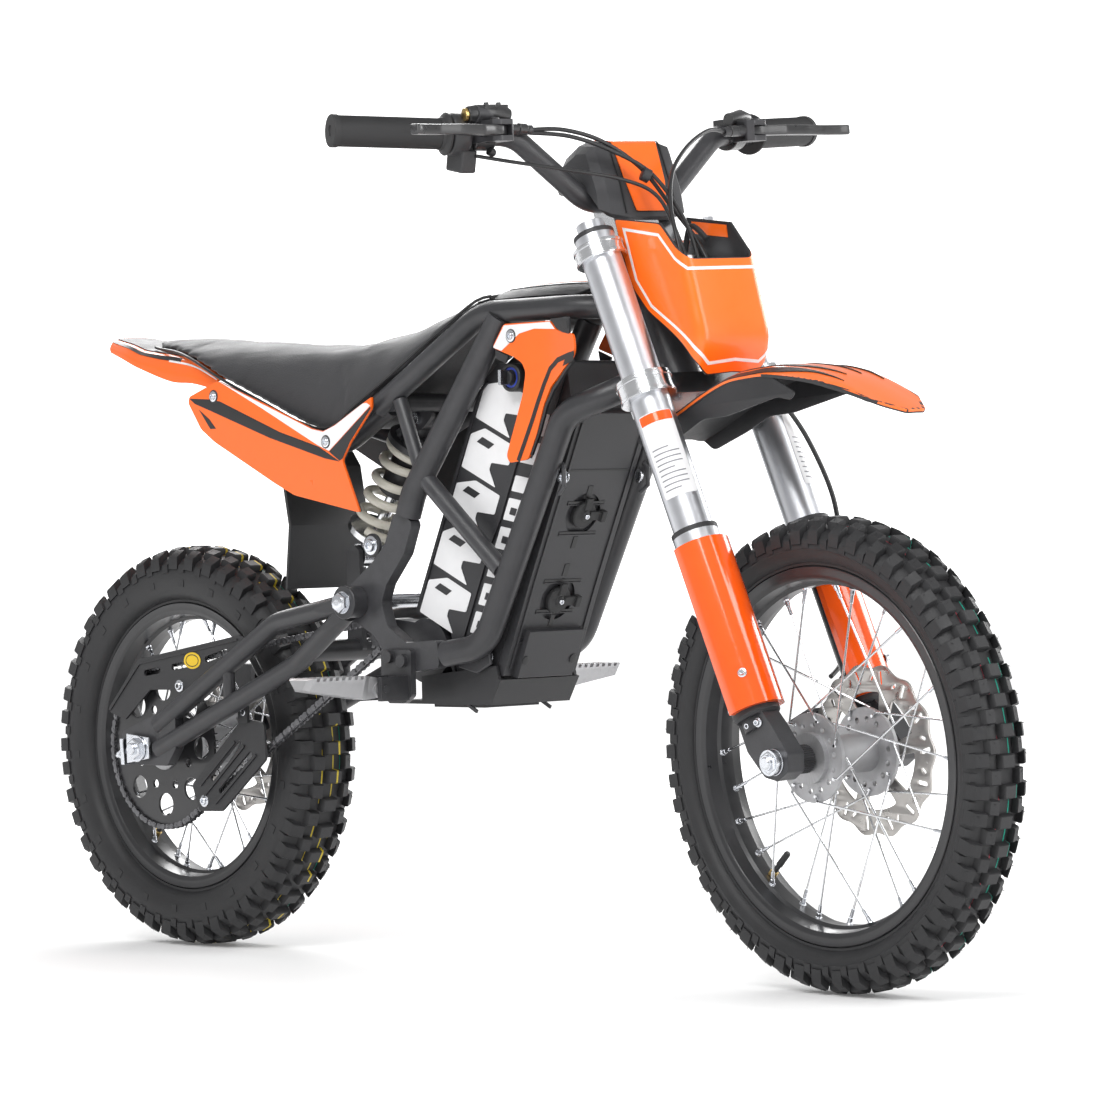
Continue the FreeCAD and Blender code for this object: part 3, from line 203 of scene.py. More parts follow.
def tyre_rubber(name, lines):
    """Tyre rubber with thin moulding lines painted round the tread: (across, half width, colour)."""
    mat, tree, shader = nodes_of(name)
    link = tree.links.new
    coords = add(tree, "ShaderNodeTexCoord")
    cloud = add(tree, "ShaderNodeTexNoise", Scale=35.0, Detail=6.0)
    grit = add(tree, "ShaderNodeTexNoise", Scale=1500.0, Detail=2.0)
    gaps = add(tree, "ShaderNodeTexNoise", Scale=28.0, Detail=1.0)
    for node in (cloud, grit, gaps):
        link(coords.outputs["Object"], node.inputs["Vector"])
    base = add(tree, "ShaderNodeMix", data_type="RGBA")
    base.inputs["A"].default_value = (0.012, 0.012, 0.013, 1)
    base.inputs["B"].default_value = (0.030, 0.030, 0.032, 1)
    link(cloud.outputs["Fac"], base.inputs["Factor"])
    colour = base.outputs["Result"]
    across = add(tree, "ShaderNodeAttribute", attribute_name="across")
    for centre, half, tone in lines:
        away = add(tree, "ShaderNodeMath", operation="SUBTRACT")
        away.inputs[1].default_value = centre
        link(across.outputs["Fac"], away.inputs[0])
        size = add(tree, "ShaderNodeMath", operation="ABSOLUTE")
        link(away.outputs[0], size.inputs[0])
        near = add(tree, "ShaderNodeMath", operation="LESS_THAN")
        near.inputs[1].default_value = half
        link(size.outputs[0], near.inputs[0])
        dash = add(tree, "ShaderNodeMath", operation="GREATER_THAN")
        dash.inputs[1].default_value = 0.47
        link(gaps.outputs["Fac"], dash.inputs[0])
        both = add(tree, "ShaderNodeMath", operation="MULTIPLY")
        link(near.outputs[0], both.inputs[0])
        link(dash.outputs[0], both.inputs[1])
        paint = add(tree, "ShaderNodeMix", data_type="RGBA")
        paint.inputs["B"].default_value = (*tone, 1)
        link(both.outputs[0], paint.inputs["Factor"])
        link(colour, paint.inputs["A"])
        colour = paint.outputs["Result"]
    link(colour, shader.inputs["Base Color"])
    rough = add(tree, "ShaderNodeMapRange", To_Min=0.42, To_Max=0.68)
    link(cloud.outputs["Fac"], rough.inputs["Value"])
    link(rough.outputs["Result"], shader.inputs["Roughness"])
    bump = add(tree, "ShaderNodeBump", Strength=0.25, Distance=0.0004)
    link(grit.outputs["Fac"], bump.inputs["Height"])
    link(bump.outputs["Normal"], shader.inputs["Normal"])
    shader.inputs["Specular IOR Level"].default_value = 0.45
    return mat


# ---------------------------------------------------------------- building pieces

def piece(name, verts, faces, mat, body, front=False, smooth=35.0, bevel=0.0, segments=2, subdiv=0,
          thick=0.0, replaces=(), slot=None, recalc=True):
    """Mesh in design millimetres made into a piece that rides on a body."""
    mesh = bpy.data.meshes.new(name)
    mesh.from_pydata([place(v, front) for v in verts], [], faces)
    obj = bpy.data.objects.new(name, mesh)
    bpy.context.scene.collection.objects.link(obj)
    return dress(obj, mat, body, smooth, bevel, segments, subdiv, thick, replaces, slot, recalc)


def dress(obj, mat, body, smooth=35.0, bevel=0.0, segments=2, subdiv=0, thick=0.0, replaces=(), slot=None,
          recalc=True):
    """Normals, modifiers, material and body of a new piece."""
    mesh = obj.data
    bm = bmesh.new()
    bm.from_mesh(mesh)
    if recalc:
        bmesh.ops.recalc_face_normals(bm, faces=bm.faces)
    if thick:
        middle = {v: v.co + v.normal * thick * MM / 2 for v in bm.verts}
        for v, co in middle.items():
            v.co = co
        bmesh.ops.solidify(bm, geom=bm.faces[:], thickness=thick * MM)
        bmesh.ops.recalc_face_normals(bm, faces=bm.faces)
    bm.to_mesh(mesh)
    bm.free()
    mesh.materials.clear()
    mesh.materials.append(mat)
    if bevel:
        round_off = obj.modifiers.new("round", "BEVEL")
        round_off.width = bevel * MM
        round_off.segments = segments
        round_off.limit_method = "ANGLE"
        round_off.angle_limit = math.radians(28)
        round_off.harden_normals = False
    if subdiv:
        fine = obj.modifiers.new("fine", "SUBSURF")
        fine.levels = subdiv
        fine.render_levels = subdiv
    shade_by_angle(obj, smooth)
    if body:
        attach(obj, body)
    if replaces:
        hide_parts(*replaces)
    return obj


def shade_by_angle(obj, angle):
    mesh = obj.data
    for poly in mesh.polygons:
        poly.use_smooth = True
    bm = bmesh.new()
    bm.from_mesh(mesh)
    limit = math.radians(angle)
    for edge in bm.edges:
        edge.smooth = not (len(edge.link_faces) == 2 and edge.calc_face_angle(0.0) > limit)
    bm.to_mesh(mesh)
    bm.free()


class Build:
    """Vertices and faces gathered from simple solids, all in design millimetres."""

    def __init__(self):
        self.verts = []
        self.faces = []

    def rings(self, loops, closed=True, cap=True, wrap=False):
        """Skin over equal loops of points."""
        base = len(self.verts)
        n = len(loops[0])
        for loop in loops:
            self.verts += [Vector(p) for p in loop]
        count = len(loops)
        for i in range(count if wrap else count - 1):
            j = (i + 1) % count
            for k in range(n if closed else n - 1):
                m = (k + 1) % n
                self.faces.append((base + i * n + k, base + i * n + m, base + j * n + m, base + j * n + k))
        if cap and not wrap:
            self.faces.append(tuple(base + k for k in reversed(range(n))))
            self.faces.append(tuple(base + (count - 1) * n + k for k in range(n)))
        return self

    def lathe(self, a, b, profile, n=32, cap=True, wave=None):
        """Profile of (distance from a towards b, radius) turned about the line a-b."""
        axis = (Vector(b) - Vector(a)).normalized()
        u, w = axes_across(axis)
        loops = []
        for t, r in profile:
            centre = Vector(a) + axis * t
            loop = []
            for k in range(n):
                ang = 2 * math.pi * k / n
                rr = r * (wave(ang) if wave else 1.0)
                loop.append(centre + (u * math.cos(ang) + w * math.sin(ang)) * rr)
            loops.append(loop)
        return self.rings(loops, cap=cap)

    def rod(self, a, b, r, n=16):
        length = (Vector(b) - Vector(a)).length
        return self.lathe(a, b, [(0, r), (length, r)], n)

    def prism(self, outline, offset):
        """Flat outline of points pushed along a vector."""
        return self.rings([outline, [Vector(p) + Vector(offset) for p in outline]])

    def box(self, centre, size, turn=None):
        turn = turn or Matrix.Identity(3)
        c = Vector(centre)
        sx, sy, sz = (s / 2 for s in size)
        flat = [Vector((x, y, -sz)) for x, y in ((-sx, -sy), (sx, -sy), (sx, sy), (-sx, sy))]
        return self.prism([c + turn @ p for p in flat], turn @ Vector((0, 0, 2 * sz)))

    def hexagon(self, a, b, r):
        """Bolt head or nut with chamfered ends."""
        length = (Vector(b) - Vector(a)).length
        return self.lathe(a, b, [(0, r * 0.94), (0.12 * length, r), (0.85 * length, r), (length, r * 0.86)], 6)

    def bolt(self, at, out, r, deep=4.0, washer=True):
        """Socket-head bolt with a washer, standing out of a face."""
        at, out = Vector(at), Vector(out).normalized()
        if washer:
            self.lathe(at, at + out, [(0, r * 1.5), (1.0, r * 1.5), (1.3, r * 1.35)], 24)
        self.lathe(at, at + out, [(0, r), (deep - 0.7, r), (deep, r * 0.85), (deep, r * 0.5),
                                  (deep * 0.45, r * 0.45)], 24)
        return self

    def tube(self, path, r, n=16):
        """Round bar along a list of points; r is a number or one per point."""
        pts = [Vector(p) for p in path]
        loops = []
        up = None
        for i, p in enumerate(pts):
            d = (pts[min(i + 1, len(pts) - 1)] - pts[max(i - 1, 0)]).normalized()
            if up is None:
                up, _ = axes_across(d)
            up = (up - d * up.dot(d)).normalized()
            side = d.cross(up)
            rad = r[i] if isinstance(r, (list, tuple)) else r
            loops.append([p + (up * math.cos(2 * math.pi * k / n) + side * math.sin(2 * math.pi * k / n)) * rad
                          for k in range(n)])
        return self.rings(loops)

    def mirror(self):
        """Add the same solids on the other side of the middle plane."""
        base = len(self.verts)
        self.verts += [Vector((v.x, -v.y, v.z)) for v in self.verts]
        self.faces += [tuple(base + i for i in reversed(f)) for f in self.faces[:]]
        return self

    def make(self, name, mat, body, **more):
        return piece(name, self.verts, self.faces, mat, body, **more)


def axes_across(axis):
    """Two unit vectors at right angles to an axis."""
    guide = Vector((0, 1, 0)) if abs(axis.y) < 0.9 else Vector((1, 0, 0))
    u = axis.cross(guide).normalized()
    return u, axis.cross(u).normalized()


def smooth_path(points, steps=8):
    """Catmull-Rom points through a few route points."""
    pts = [Vector(p) for p in points]
    out = []
    for i in range(len(pts) - 1):
        p0, p1, p2 = pts[max(i - 1, 0)], pts[i], pts[i + 1]
        p3 = pts[min(i + 2, len(pts) - 1)]
        for k in range(steps):
            t = k / steps
            out.append(0.5 * ((2 * p1) + (p2 - p0) * t + (2 * p0 - 5 * p1 + 4 * p2 - p3) * t * t
                              + (3 * p1 - p0 - 3 * p2 + p3) * t * t * t))
    return out + [pts[-1]]


def round_corners(points, r, steps=5):
    """2-D outline with its corners rounded."""
    out = []
    n = len(points)
    for i in range(n):
        a, b, c = (Vector(points[(i + k) % n][:2]) for k in (-1, 0, 1))
        rad = points[i][2] if len(points[i]) > 2 else r
        u, w = (a - b), (c - b)
        run = min(rad, 0.45 * u.length, 0.45 * w.length)
        if run < 0.2:
            out.append(b)
            continue
        p, q = b + u.normalized() * run, b + w.normalized() * run
        out += [(1 - t) ** 2 * p + 2 * t * (1 - t) * b + t * t * q for t in (k / steps for k in range(steps + 1))]
    return out


def flat_piece(name, loops, thick, spot, mat, body, front=False, bevel=0.4, smooth=35.0, replaces=(), slot=None):
    """Plate cut to 2-D loops (the first is the outside), put in place by spot(u, v, w)."""
    curve = bpy.data.curves.new(name, "CURVE")
    curve.dimensions = "2D"
    curve.fill_mode = "BOTH"
    curve.extrude = thick / 2 - bevel
    curve.bevel_depth = bevel
    curve.bevel_resolution = 1
    curve.offset = -bevel
    for loop in loops:
        spline = curve.splines.new("POLY")
        spline.points.add(len(loop) - 1)
        spline.points.foreach_set("co", [c for p in loop for c in (p[0], p[1], 0.0, 1.0)])
        spline.use_cyclic_u = True
    temp = bpy.data.objects.new(name + "_curve", curve)
    mesh = bpy.data.meshes.new_from_object(temp)
    bpy.data.objects.remove(temp)
    for v in mesh.vertices:
        v.co = place(spot(v.co.x, v.co.y, v.co.z), front)
    mesh.name = name
    obj = bpy.data.objects.new(name, mesh)
    bpy.context.scene.collection.objects.link(obj)
    bm = bmesh.new()
    bm.from_mesh(mesh)
    bmesh.ops.remove_doubles(bm, verts=bm.verts, dist=1e-6)
    bm.to_mesh(mesh)
    bm.free()
    return dress(obj, mat, body, smooth=smooth, replaces=replaces, slot=slot)


def skin(name, outline, surf, mat, body, front=False, thick=0.0, step=9.0, lift=0.0, bevel=0.0,
         smooth=50.0, replaces=(), slot=None):
    """Curved panel: a 2-D outline gridded and laid on the surface surf(u, v), lifted off it by lift."""
    bm = bmesh.new()
    loop = [bm.verts.new((p[0], p[1], 0)) for p in outline]
    bm.faces.new(loop)
    us = [p[0] for p in outline]
    vs = [p[1] for p in outline]
    for axis, low, high in ((Vector((1, 0, 0)), min(us), max(us)), (Vector((0, 1, 0)), min(vs), max(vs))):
        count = max(1, int((high - low) / step))
        for i in range(1, count):
            at = axis * (low + (high - low) * i / count)
            bmesh.ops.bisect_plane(bm, geom=bm.verts[:] + bm.edges[:] + bm.faces[:], plane_co=at,
                                   plane_no=axis, dist=1e-4)
    bmesh.ops.triangulate(bm, faces=[f for f in bm.faces if len(f.verts) > 4])
    e = 0.5
    for v in bm.verts:
        u, w = v.co.x, v.co.y
        p = Vector(surf(u, w))
        normal = (Vector(surf(u + e, w)) - Vector(surf(u - e, w))).cross(
            Vector(surf(u, w + e)) - Vector(surf(u, w - e)))
        v.co = place(p + normal.normalized() * lift, front)
    mesh = bpy.data.meshes.new(name)
    bm.to_mesh(mesh)
    bm.free()
    obj = bpy.data.objects.new(name, mesh)
    bpy.context.scene.collection.objects.link(obj)
    return dress(obj, mat, body, smooth=smooth, thick=thick, bevel=bevel, replaces=replaces, slot=slot)


# ---------------------------------------------------------------- wheels

def around(x, z):
    """Polar point on a wheel: angle, radius, y."""
    return lambda a, r, y: Vector((x + r * math.cos(a), y, z + r * math.sin(a)))


def tyre(name, node, body, x, radius, half, lip, rim_half, pitches, mat, front):
    """Carcass, knobs in rows, side lugs, moulding hairs and sidewall ribs."""
    at = around(x, radius)
    deep = 8.5

    def crown(y):
        return radius - 0.3 - 13.0 * (abs(y) / half) ** 2.4

    build = Build()
    bead = rim_half - 2.3
    wall = [(half * 0.80, crown(half * 0.80) - deep), (half * 0.93, radius - 24), (half * 0.965, radius - 32),
            (half * 0.95, lip + 17), (half * 0.93, lip + 15.5), (half * 0.92, lip + 12), (half * 0.86, lip + 8),
            (bead + 4.5, lip + 4.0), (bead + 3.2, lip + 3.6), (bead + 2.9, lip + 1.0), (bead, lip + 0.7),
            (bead, lip - 9.5)]
    tread = [(half * 0.80 * (1 - k / 4), crown(half * 0.8 * (1 - k / 4)) - deep) for k in range(1, 5)]
    half_profile = list(reversed(wall)) + tread
    profile = half_profile + [(-y, r) for y, r in reversed(half_profile[:-1])]
    n = 180
    build.rings([[at(2 * math.pi * i / n, r, y) for y, r in profile] for i in range(n)], closed=True, wrap=True)
    across = [y for _ in range(n) for y, _ in profile]

    def knob(a, y0, y1, long, low, taper=0.84, drop=0.0):
        """Block from angle a, across y0..y1, standing from radius low up to the crown."""
        da = long / radius / 2
        ym = (y0 + y1) / 2
        loops = []
        for level, size in ((0.0, 1.0), (0.86, 0.5 + taper / 2), (1.0, taper - 0.06)):
            loop = []
            for sy, sa in ((y0, -1), (y1, -1), (y1, 1), (y0, 1)):
                y = ym + (sy - ym) * size
                top = crown(sy) - drop
                r = low + (top - low) * level if level < 1 else top
                loop.append(at(a + sa * da * size, r, y))
            loops.append(loop)
        build.rings(loops)
        across.extend([y0 * 0.5 + ym * 0.5 if k in (0, 3) else y1 * 0.5 + ym * 0.5 for _ in range(3)
                       for k in range(4)])

    def hair(a, r, y, long):
        tip = at(a + random.uniform(-0.01, 0.01), r + long, y * 1.0)
        root = at(a, r - 1.0, y)
        build.lathe(root, tip, [(0, 0.45), ((tip - root).length, 0.18)], 4)
        across.extend([y] * 8)

    step = 2 * math.pi / pitches
    for i in range(pitches):
        a = i * step
        wobble = 1.5 if i % 2 else -1.5
        knob(a, -0.26 * half + wobble, 0.26 * half + wobble, radius * step * 0.50, radius - 13)
        for side in (-1, 1):
            mid = sorted((side * 0.33 * half, side * 0.64 * half))
            knob(a + step / 2, mid[0], mid[1], radius * step * 0.56, radius - 17)
            edge = sorted((side * 0.66 * half, side * 0.985 * half))
            knob(a + (0.0 if i % 2 else 0.08 * step), edge[0], edge[1], radius * step * 0.52, radius - 27, 0.90)
            lug = sorted((side * 0.76 * half, side * 0.985 * half))
            knob(a + step / 2, lug[0], lug[1], radius * step * 0.34, radius - 31, 0.9, drop=9.0)
            hair(a + 0.2 * step, crown(0.9 * half), side * 0.90 * half, 2.0)
            hair(a - 0.1 * step, crown(half) - 2, side * 0.955 * half, 2.6)
            hair(a + 0.6 * step, crown(0.5 * half), side * 0.5 * half, 0.6)
    for side in (-1, 1):
        for k in range(pitches // 2):
            a = (k + 0.25) * 2 * step
            y = side * half * 0.945
            da = 0.16 * step
            build.rings([[at(a - da, lip + 19, y), at(a + da, lip + 19, y), at(a + da, lip + 27, y * 1.005),
                          at(a - da, lip + 27, y * 1.005)],
                         [at(a - da, lip + 19, y * 1.022), at(a + da, lip + 19, y * 1.022),
                          at(a + da, lip + 27, y * 1.03), at(a - da, lip + 27, y * 1.03)]])
            across.extend([y] * 8)
    obj = piece(name, build.verts, build.faces, mat, body, front=front, smooth=40, replaces=(node,), slot="tyre")
    data = obj.data.attributes.new("across", "FLOAT", "POINT")
    data.data.foreach_set("value", across)
    return obj


def wheel(tag, body, x, radius, half, lip, rim_half, flange, pitches, lines, front):
    tyre(tag + "_tyre_knobs", tag + "_tyre", body, x, radius, half, lip, rim_half, pitches,
         tyre_rubber(tag + "_tyre_rubber", lines), front)
    at = around(x, radius)
    # rim: drop centre with rolled lips
    w = rim_half + 1.5
    profile = [(0, lip - 20.0), (7.5, lip - 19.6), (10, lip - 16.2), (rim_half - 7, lip - 14.6), (w - 2.5, lip - 13.6),
               (w - 0.4, lip - 11), (w, lip - 8), (w - 0.2, lip - 2.2), (w + 0.2, lip - 0.8), (w - 0.6, lip),
               (w - 2.4, lip - 0.2), (w - 3.2, lip - 2), (w - 3.3, lip - 10.2), (rim_half - 8, lip - 10.6), (7, lip - 12),
               (5, lip - 16), (0, lip - 16.4)]
    loop = profile + [(-y, r) for y, r in reversed(profile) if y]
    n = 160
    Build().rings([[at(2 * math.pi * i / n, r, y) for y, r in loop] for i in range(n)], wrap=True).make(
        tag + "_rim_black", RIM_BLACK, body, front=front, replaces=(tag + "_rim",), slot="frame_black")
    # spokes, nipples and heads
    wires, nipples = Build(), Build()
    per_side = 14
    for side in (-1, 1):
        for i in range(per_side):
            lead = 1 if i % 2 else -1
            hub_a = 2 * math.pi * (i + (0.5 if side > 0 else 0)) / per_side
            rim_a = hub_a + lead * math.radians(52)
            a = at(hub_a, 44.5, side * (flange + (5.8 if lead > 0 else -3.8)))
            b = at(rim_a, lip - 20.6, side * (4.5 + lead * 1.2))
            d = (b - a).normalized()
            wires.rod(a - d * 1.0, b - d * 10, 1.15, 10)
            root = at(hub_a - lead * 0.10, 38.5, side * (flange + (3.2 if lead > 0 else -3.0)))
            wires.tube([root, root.lerp(a, 0.6), a + d * 2], 1.15, 8)
            wires.lathe(root - Vector((0, lead * side * 1.2, 0)), root + Vector((0, lead * side * 1.6, 0)),
                        [(0, 1.6), (1.6, 2.4), (2.8, 1.7)], 10)
            nipples.lathe(b - d * 15, b, [(0, 1.6), (1, 1.9), (9, 1.9), (9.4, 2.5), (14.5, 2.6)], 8)
            nipples.lathe(at(rim_a, lip - 21.4, b.y), at(rim_a, lip - 19.6, b.y), [(0, 3.2), (1.2, 3.6), (1.8, 3.9)], 14)
    wires.make(tag + "_spoke_wires", CHROME, body, front=front, replaces=(tag + "_spokes",), slot="chrome")
    nipples.make(tag + "_nipples", ZINC, body, front=front, slot="chrome")
    # valve
    a = math.radians(228)
    stem = Build().lathe(at(a, lip - 20, 3), at(a, lip - 52, 8), [(0, 3.0), (14, 2.8), (14.2, 3.6), (30, 3.4), (32, 2.6)], 14)
    stem.make(tag + "_valve", BLACK, body, front=front, slot="rubber")
    Build().hexagon(at(a, lip - 20, 3), at(a, lip - 26, 4), 5).make(tag + "_valve_nut", BRASS, body, front=front,
                                                                  slot="chrome")


RIM_BLACK = finish("rim_black", (0.018, 0.018, 0.020), 0.33, coat=0.2, tint=0.1, grain=0.1, bevel=0)
FRONT_LINES = [(-7.0, 0.7, (0.28, 0.01, 0.03)), (6.5, 0.7, (0.0, 0.28, 0.20))]
REAR_LINES = [(-12.0, 0.9, (0.50, 0.38, 0.02)), (3.0, 0.8, (0.50, 0.38, 0.02)), (14.0, 0.8, (0.0, 0.25, 0.17))]
wheel("front", "front_wheel", WHEELBASE, FRONT_R, FRONT_HALF, FRONT_LIP, FRONT_RIM, 37.0, 50, FRONT_LINES, True)
wheel("rear", "rear_wheel", 0.0, REAR_R, REAR_HALF, REAR_LIP, REAR_RIM, 38.0, 44, REAR_LINES, False)


def brake_disc(tag, body, x, radius, y, outer, inner, bore, waves, front):
    """Wave-edged disc with slots and a spider."""
    def ring(r, n=120, amp=0.0, count=0, phase=0.0):
        pts = []
        for i in range(n):
            a = 2 * math.pi * i / n
            pts.append(((r + amp * math.cos(count * a + phase)) * math.cos(a),
                        (r + amp * math.cos(count * a + phase)) * math.sin(a)))
        return pts

    def slot_loop(a, r0, r1, w, lean):
        p, q = Vector((math.cos(a) * r0, math.sin(a) * r0)), Vector((math.cos(a + lean) * r1, math.sin(a + lean) * r1))
        d = (q - p).normalized()
        m = Vector((-d.y, d.x)) * w
        return round_corners([p + m, q + m, q - m, p - m], w * 0.9, 4)

    loops = [ring(outer - 2.4, 216, 2.4, waves)]
    for i in range(waves):
        a = 2 * math.pi * i / waves
        loops.append(slot_loop(a, inner + 6, outer - 6, 2.3, 0.05))
        loops.append(slot_loop(a + math.pi / waves, inner + 8, outer - 11, 1.9, -0.05))
    arms = 6
    for i in range(arms):
        a = 2 * math.pi * i / arms + 0.16
        b = a + 2 * math.pi / arms - 0.26
        window = [(bore + 7) * Vector((math.cos(t), math.sin(t))) for t in (a + 0.10, (a + b) / 2, b - 0.02)]
        outer_edge = [(inner - 2) * Vector((math.cos(t), math.sin(t)))
                      for t in (b + 0.10, b - 0.05, (a + b) / 2 + 0.12, a + 0.25, a + 0.16)]
        loops.append(round_corners(window + outer_edge, 5, 4))
    loops.append(ring(bore, 60))
    flat_piece(tag + "_disc_wave", loops, 2.8, lambda u, v, w: Vector((x + u, y + w, radius + v)), DISC, body,
               front=front, bevel=0.3, replaces=(tag + "_disc",), slot="steel")
    bolts = Build()
    for i in range(6):
        a = 2 * math.pi * i / 6
        r = bore + 3
        bolts.bolt((x + r * math.cos(a), y + 1.4, radius + r * math.sin(a)), (0, 1, 0), 3.2, 2.8, washer=False)
    bolts.make(tag + "_disc_bolts", ZINC, body, front=front, slot="steel")


brake_disc("front", "front_wheel", WHEELBASE, FRONT_R, 47.0, 88.0, 62.0, 27.0, 14, True)
brake_disc("rear", "rear_wheel", 0.0, REAR_R, 56.5, 80.0, 57.0, 27.0, 12, False)

# ---------------------------------------------------------------- CAD nodes that stay, with better finishes

CARRIED = {
    FRAME: ("frame", "pivot_castings", "drive_motor", "footpeg_hangers", "swingarm", "handlebar", "fork_legs",
            "front_caliper", "rear_caliper", "shock_body", "lever_perches", "right_brake_lever",
            "left_brake_lever"),
    ZINC: ("pivot_bolts", "front_axle", "rear_axle", "ignition_key"),
    PANEL: ("battery_case", "battery_cover"),
    BLACK: ("skid_plate", "tank_cover", "inner_fender", "ignition_lock", "throttle_housing", "chain_guards",
            "upper_latch", "lower_latch"),
    ORANGE: ("right_shroud", "left_shroud", "rear_fender", "side_panels", "number_plate", "front_fender"),
    ORANGE_GLOSS: ("fork_guards",),
    POLISHED: ("steering_stem", "upper_clamp", "shock_shaft"),
    SILVER: ("fork_outer_tubes",),
    CAST: ("front_hub", "rear_hub", "right_footpeg", "left_footpeg"),
    CHAIN: ("drive_chain", "motor_sprocket"),
    RIM_BLACK: ("rear_sprocket",),
    RUBBER: ("left_grip", "throttle_grip", "bar_pad"),
    HOSE: ("control_cables", "front_brake_hose"),
    CREAM: ("shock_spring",),
    VINYL: ("seat",),
}
for mat, names in CARRIED.items():
    for node in names:
        data = frame["nodes"][node].data
        data.materials.clear()
        data.materials.append(mat)

# ---------------------------------------------------------------- panels and graphics

SIDES = (("right", -1), ("left", 1))


def stripe(name, path, width, surf, mat, body, front=False, lift=0.5, closed=False, step=7.0, thick=0.35,
           taper=False):
    """Painted line: a thin band along a path on a panel's surface; taper draws its ends to points."""
    pts = [Vector(p[:2]) for p in path]
    if closed:
        pts.append(pts[0])
    dense = []
    for a, b in zip(pts, pts[1:]):
        count = max(1, int((b - a).length / step))
        dense += [a.lerp(b, k / count) for k in range(count)]
    if not closed:
        dense.append(pts[-1])
    n = len(dense)
    verts, faces = [], []
    for i, p in enumerate(dense):
        before = dense[(i - 1) % n] if closed or i else p
        after = dense[(i + 1) % n] if closed or i < n - 1 else p
        d1 = (p - before).normalized() if (p - before).length > 0 else (after - p).normalized()
        d2 = (after - p).normalized() if (after - p).length > 0 else d1
        normal = Vector((-(d1 + d2).y, (d1 + d2).x)).normalized()
        reach = width / 2 / max(0.5, normal.dot(Vector((-d1.y, d1.x))))
        if taper:
            t = i / (n - 1)
            reach *= max(0.03, min(1.0, 4 * t, 4 * (1 - t)))
        for way in (-1, 1):
            q = p + normal * reach * way
            verts.append(on_surface(surf, q.x, q.y, lift))
    for i in range(n if closed else n - 1):
        j = (i + 1) % n
        faces.append((2 * i, 2 * i + 1, 2 * j + 1, 2 * j))
    return piece(name, verts, faces, mat, body, front=front, smooth=60, thick=thick)


def on_surface(surf, u, v, lift):
    """Point on a surface raised along its normal."""
    e = 0.5
    normal = (Vector(surf(u + e, v)) - Vector(surf(u - e, v))).cross(
        Vector(surf(u, v + e)) - Vector(surf(u, v - e))).normalized()
    return Vector(surf(u, v)) + normal * lift


def decal(name, outline, surf, mat, body, front=False, lift=0.5, r=0.8, step=9.0, thick=0.35):
    return skin(name, round_corners(outline, r, 3), surf, mat, body, front=front, thick=thick, lift=lift,
                step=step, smooth=60)


def shroud_surf(side):
    def at(x, z):
        t = x - 676
        flare = 0.16 * (t + math.sqrt(t * t + 160))
        return Vector((x, side * (77.6 + flare), z))
    return at


def shrouds():
    """Side shrouds with their stripes, vents and bolts."""
    outline = [(586, 664), (604, 688), (676, 688), (688, 678), (724, 672), (727, 657), (722, 648), (700, 636),
               (675, 620), (663, 602), (650, 570), (636.5, 545), (608, 542), (604, 550), (620, 587), (631, 614),
               (636, 636), (631, 646), (618, 653)]
    insert = [(678, 690), (690, 680), (702, 675), (717, 672.5), (717, 690)]
    corner = [(587.5, 664), (605, 686.5), (676, 687), (686, 679), (651, 681), (628, 677), (600, 660)]
    dark = [(726, 652), (713, 650.5), (690, 646.5), (675, 638), (664, 622), (654, 604), (645, 586), (632, 562), (622, 544)]
    for tag, side in SIDES:
        surf = shroud_surf(side)
        up = -side
        skin(tag + "_shroud_panel", round_corners(outline, 4, 4), surf, ORANGE, "chassis", thick=2.6, step=6,
             bevel=0.9, replaces=(tag + "_shroud",), slot="orange_plastic")
        skin(tag + "_shroud_insert", round_corners(insert, 2, 3), surf, BLACK, "chassis", thick=2.6, step=6,
             lift=0.9 * up, bevel=0.8, slot="black_plastic")
        # Painted shade: the insert vent is a flat dark decal standing for the shade inside the opening.
        decal(tag + "_shroud_insert_vent", [(698, 687.5), (714, 686.5), (715, 678), (703, 679)], surf, DARK_LINE, "chassis",
              lift=2.35 * up)
        decal(tag + "_shroud_white", corner, surf, WHITE, "chassis", lift=1.5 * up)
        stripe(tag + "_shroud_stripe", dark, 5.4, surf, DARK_LINE, "chassis", lift=1.5 * up)
        # Painted shade: the vent is a flat dark decal standing for the shade inside the opening.
        decal(tag + "_shroud_vent", [(701, 640), (706, 646.5), (725, 650), (725, 644.5)], surf, DARK_LINE, "chassis",
              lift=1.6 * up)
        stripe(tag + "_shroud_edge_line", [(640, 550), (653, 573), (666, 602), (678, 617), (700, 633), (720, 645)],
               3.4, surf, BLACK, "chassis", lift=-1.2 * up, thick=3.0)
        decal(tag + "_shroud_tail", [(588, 662), (598, 658), (608, 654), (604, 647), (590, 652)], surf, BLACK,
              "chassis", lift=-1.6 * up, thick=2.2)
        bolts = Build()
        bolts.bolt((615, side * 79.2, 675), (0, side, 0), 4.2, 4.0)
        bolts.make(tag + "_shroud_bolt", ZINC, "chassis", slot="silver")
        cup = Build().lathe((615, side * 77, 675), (615, side * 80, 675), [(0, 7.4), (2.6, 7.4), (3.2, 6.6), (3.2, 5.6),
                                                                         (2.4, 5.4)], 24)
        cup.make(tag + "_shroud_cup", BLACK, "chassis", slot="black_plastic")


def side_surf(side):
    def at(x, z):
        below = max(0.0, 627 - 0.296 * (x - 109) - z)
        return Vector((x, side * (98.3 - 0.05 * below), z))
    return at


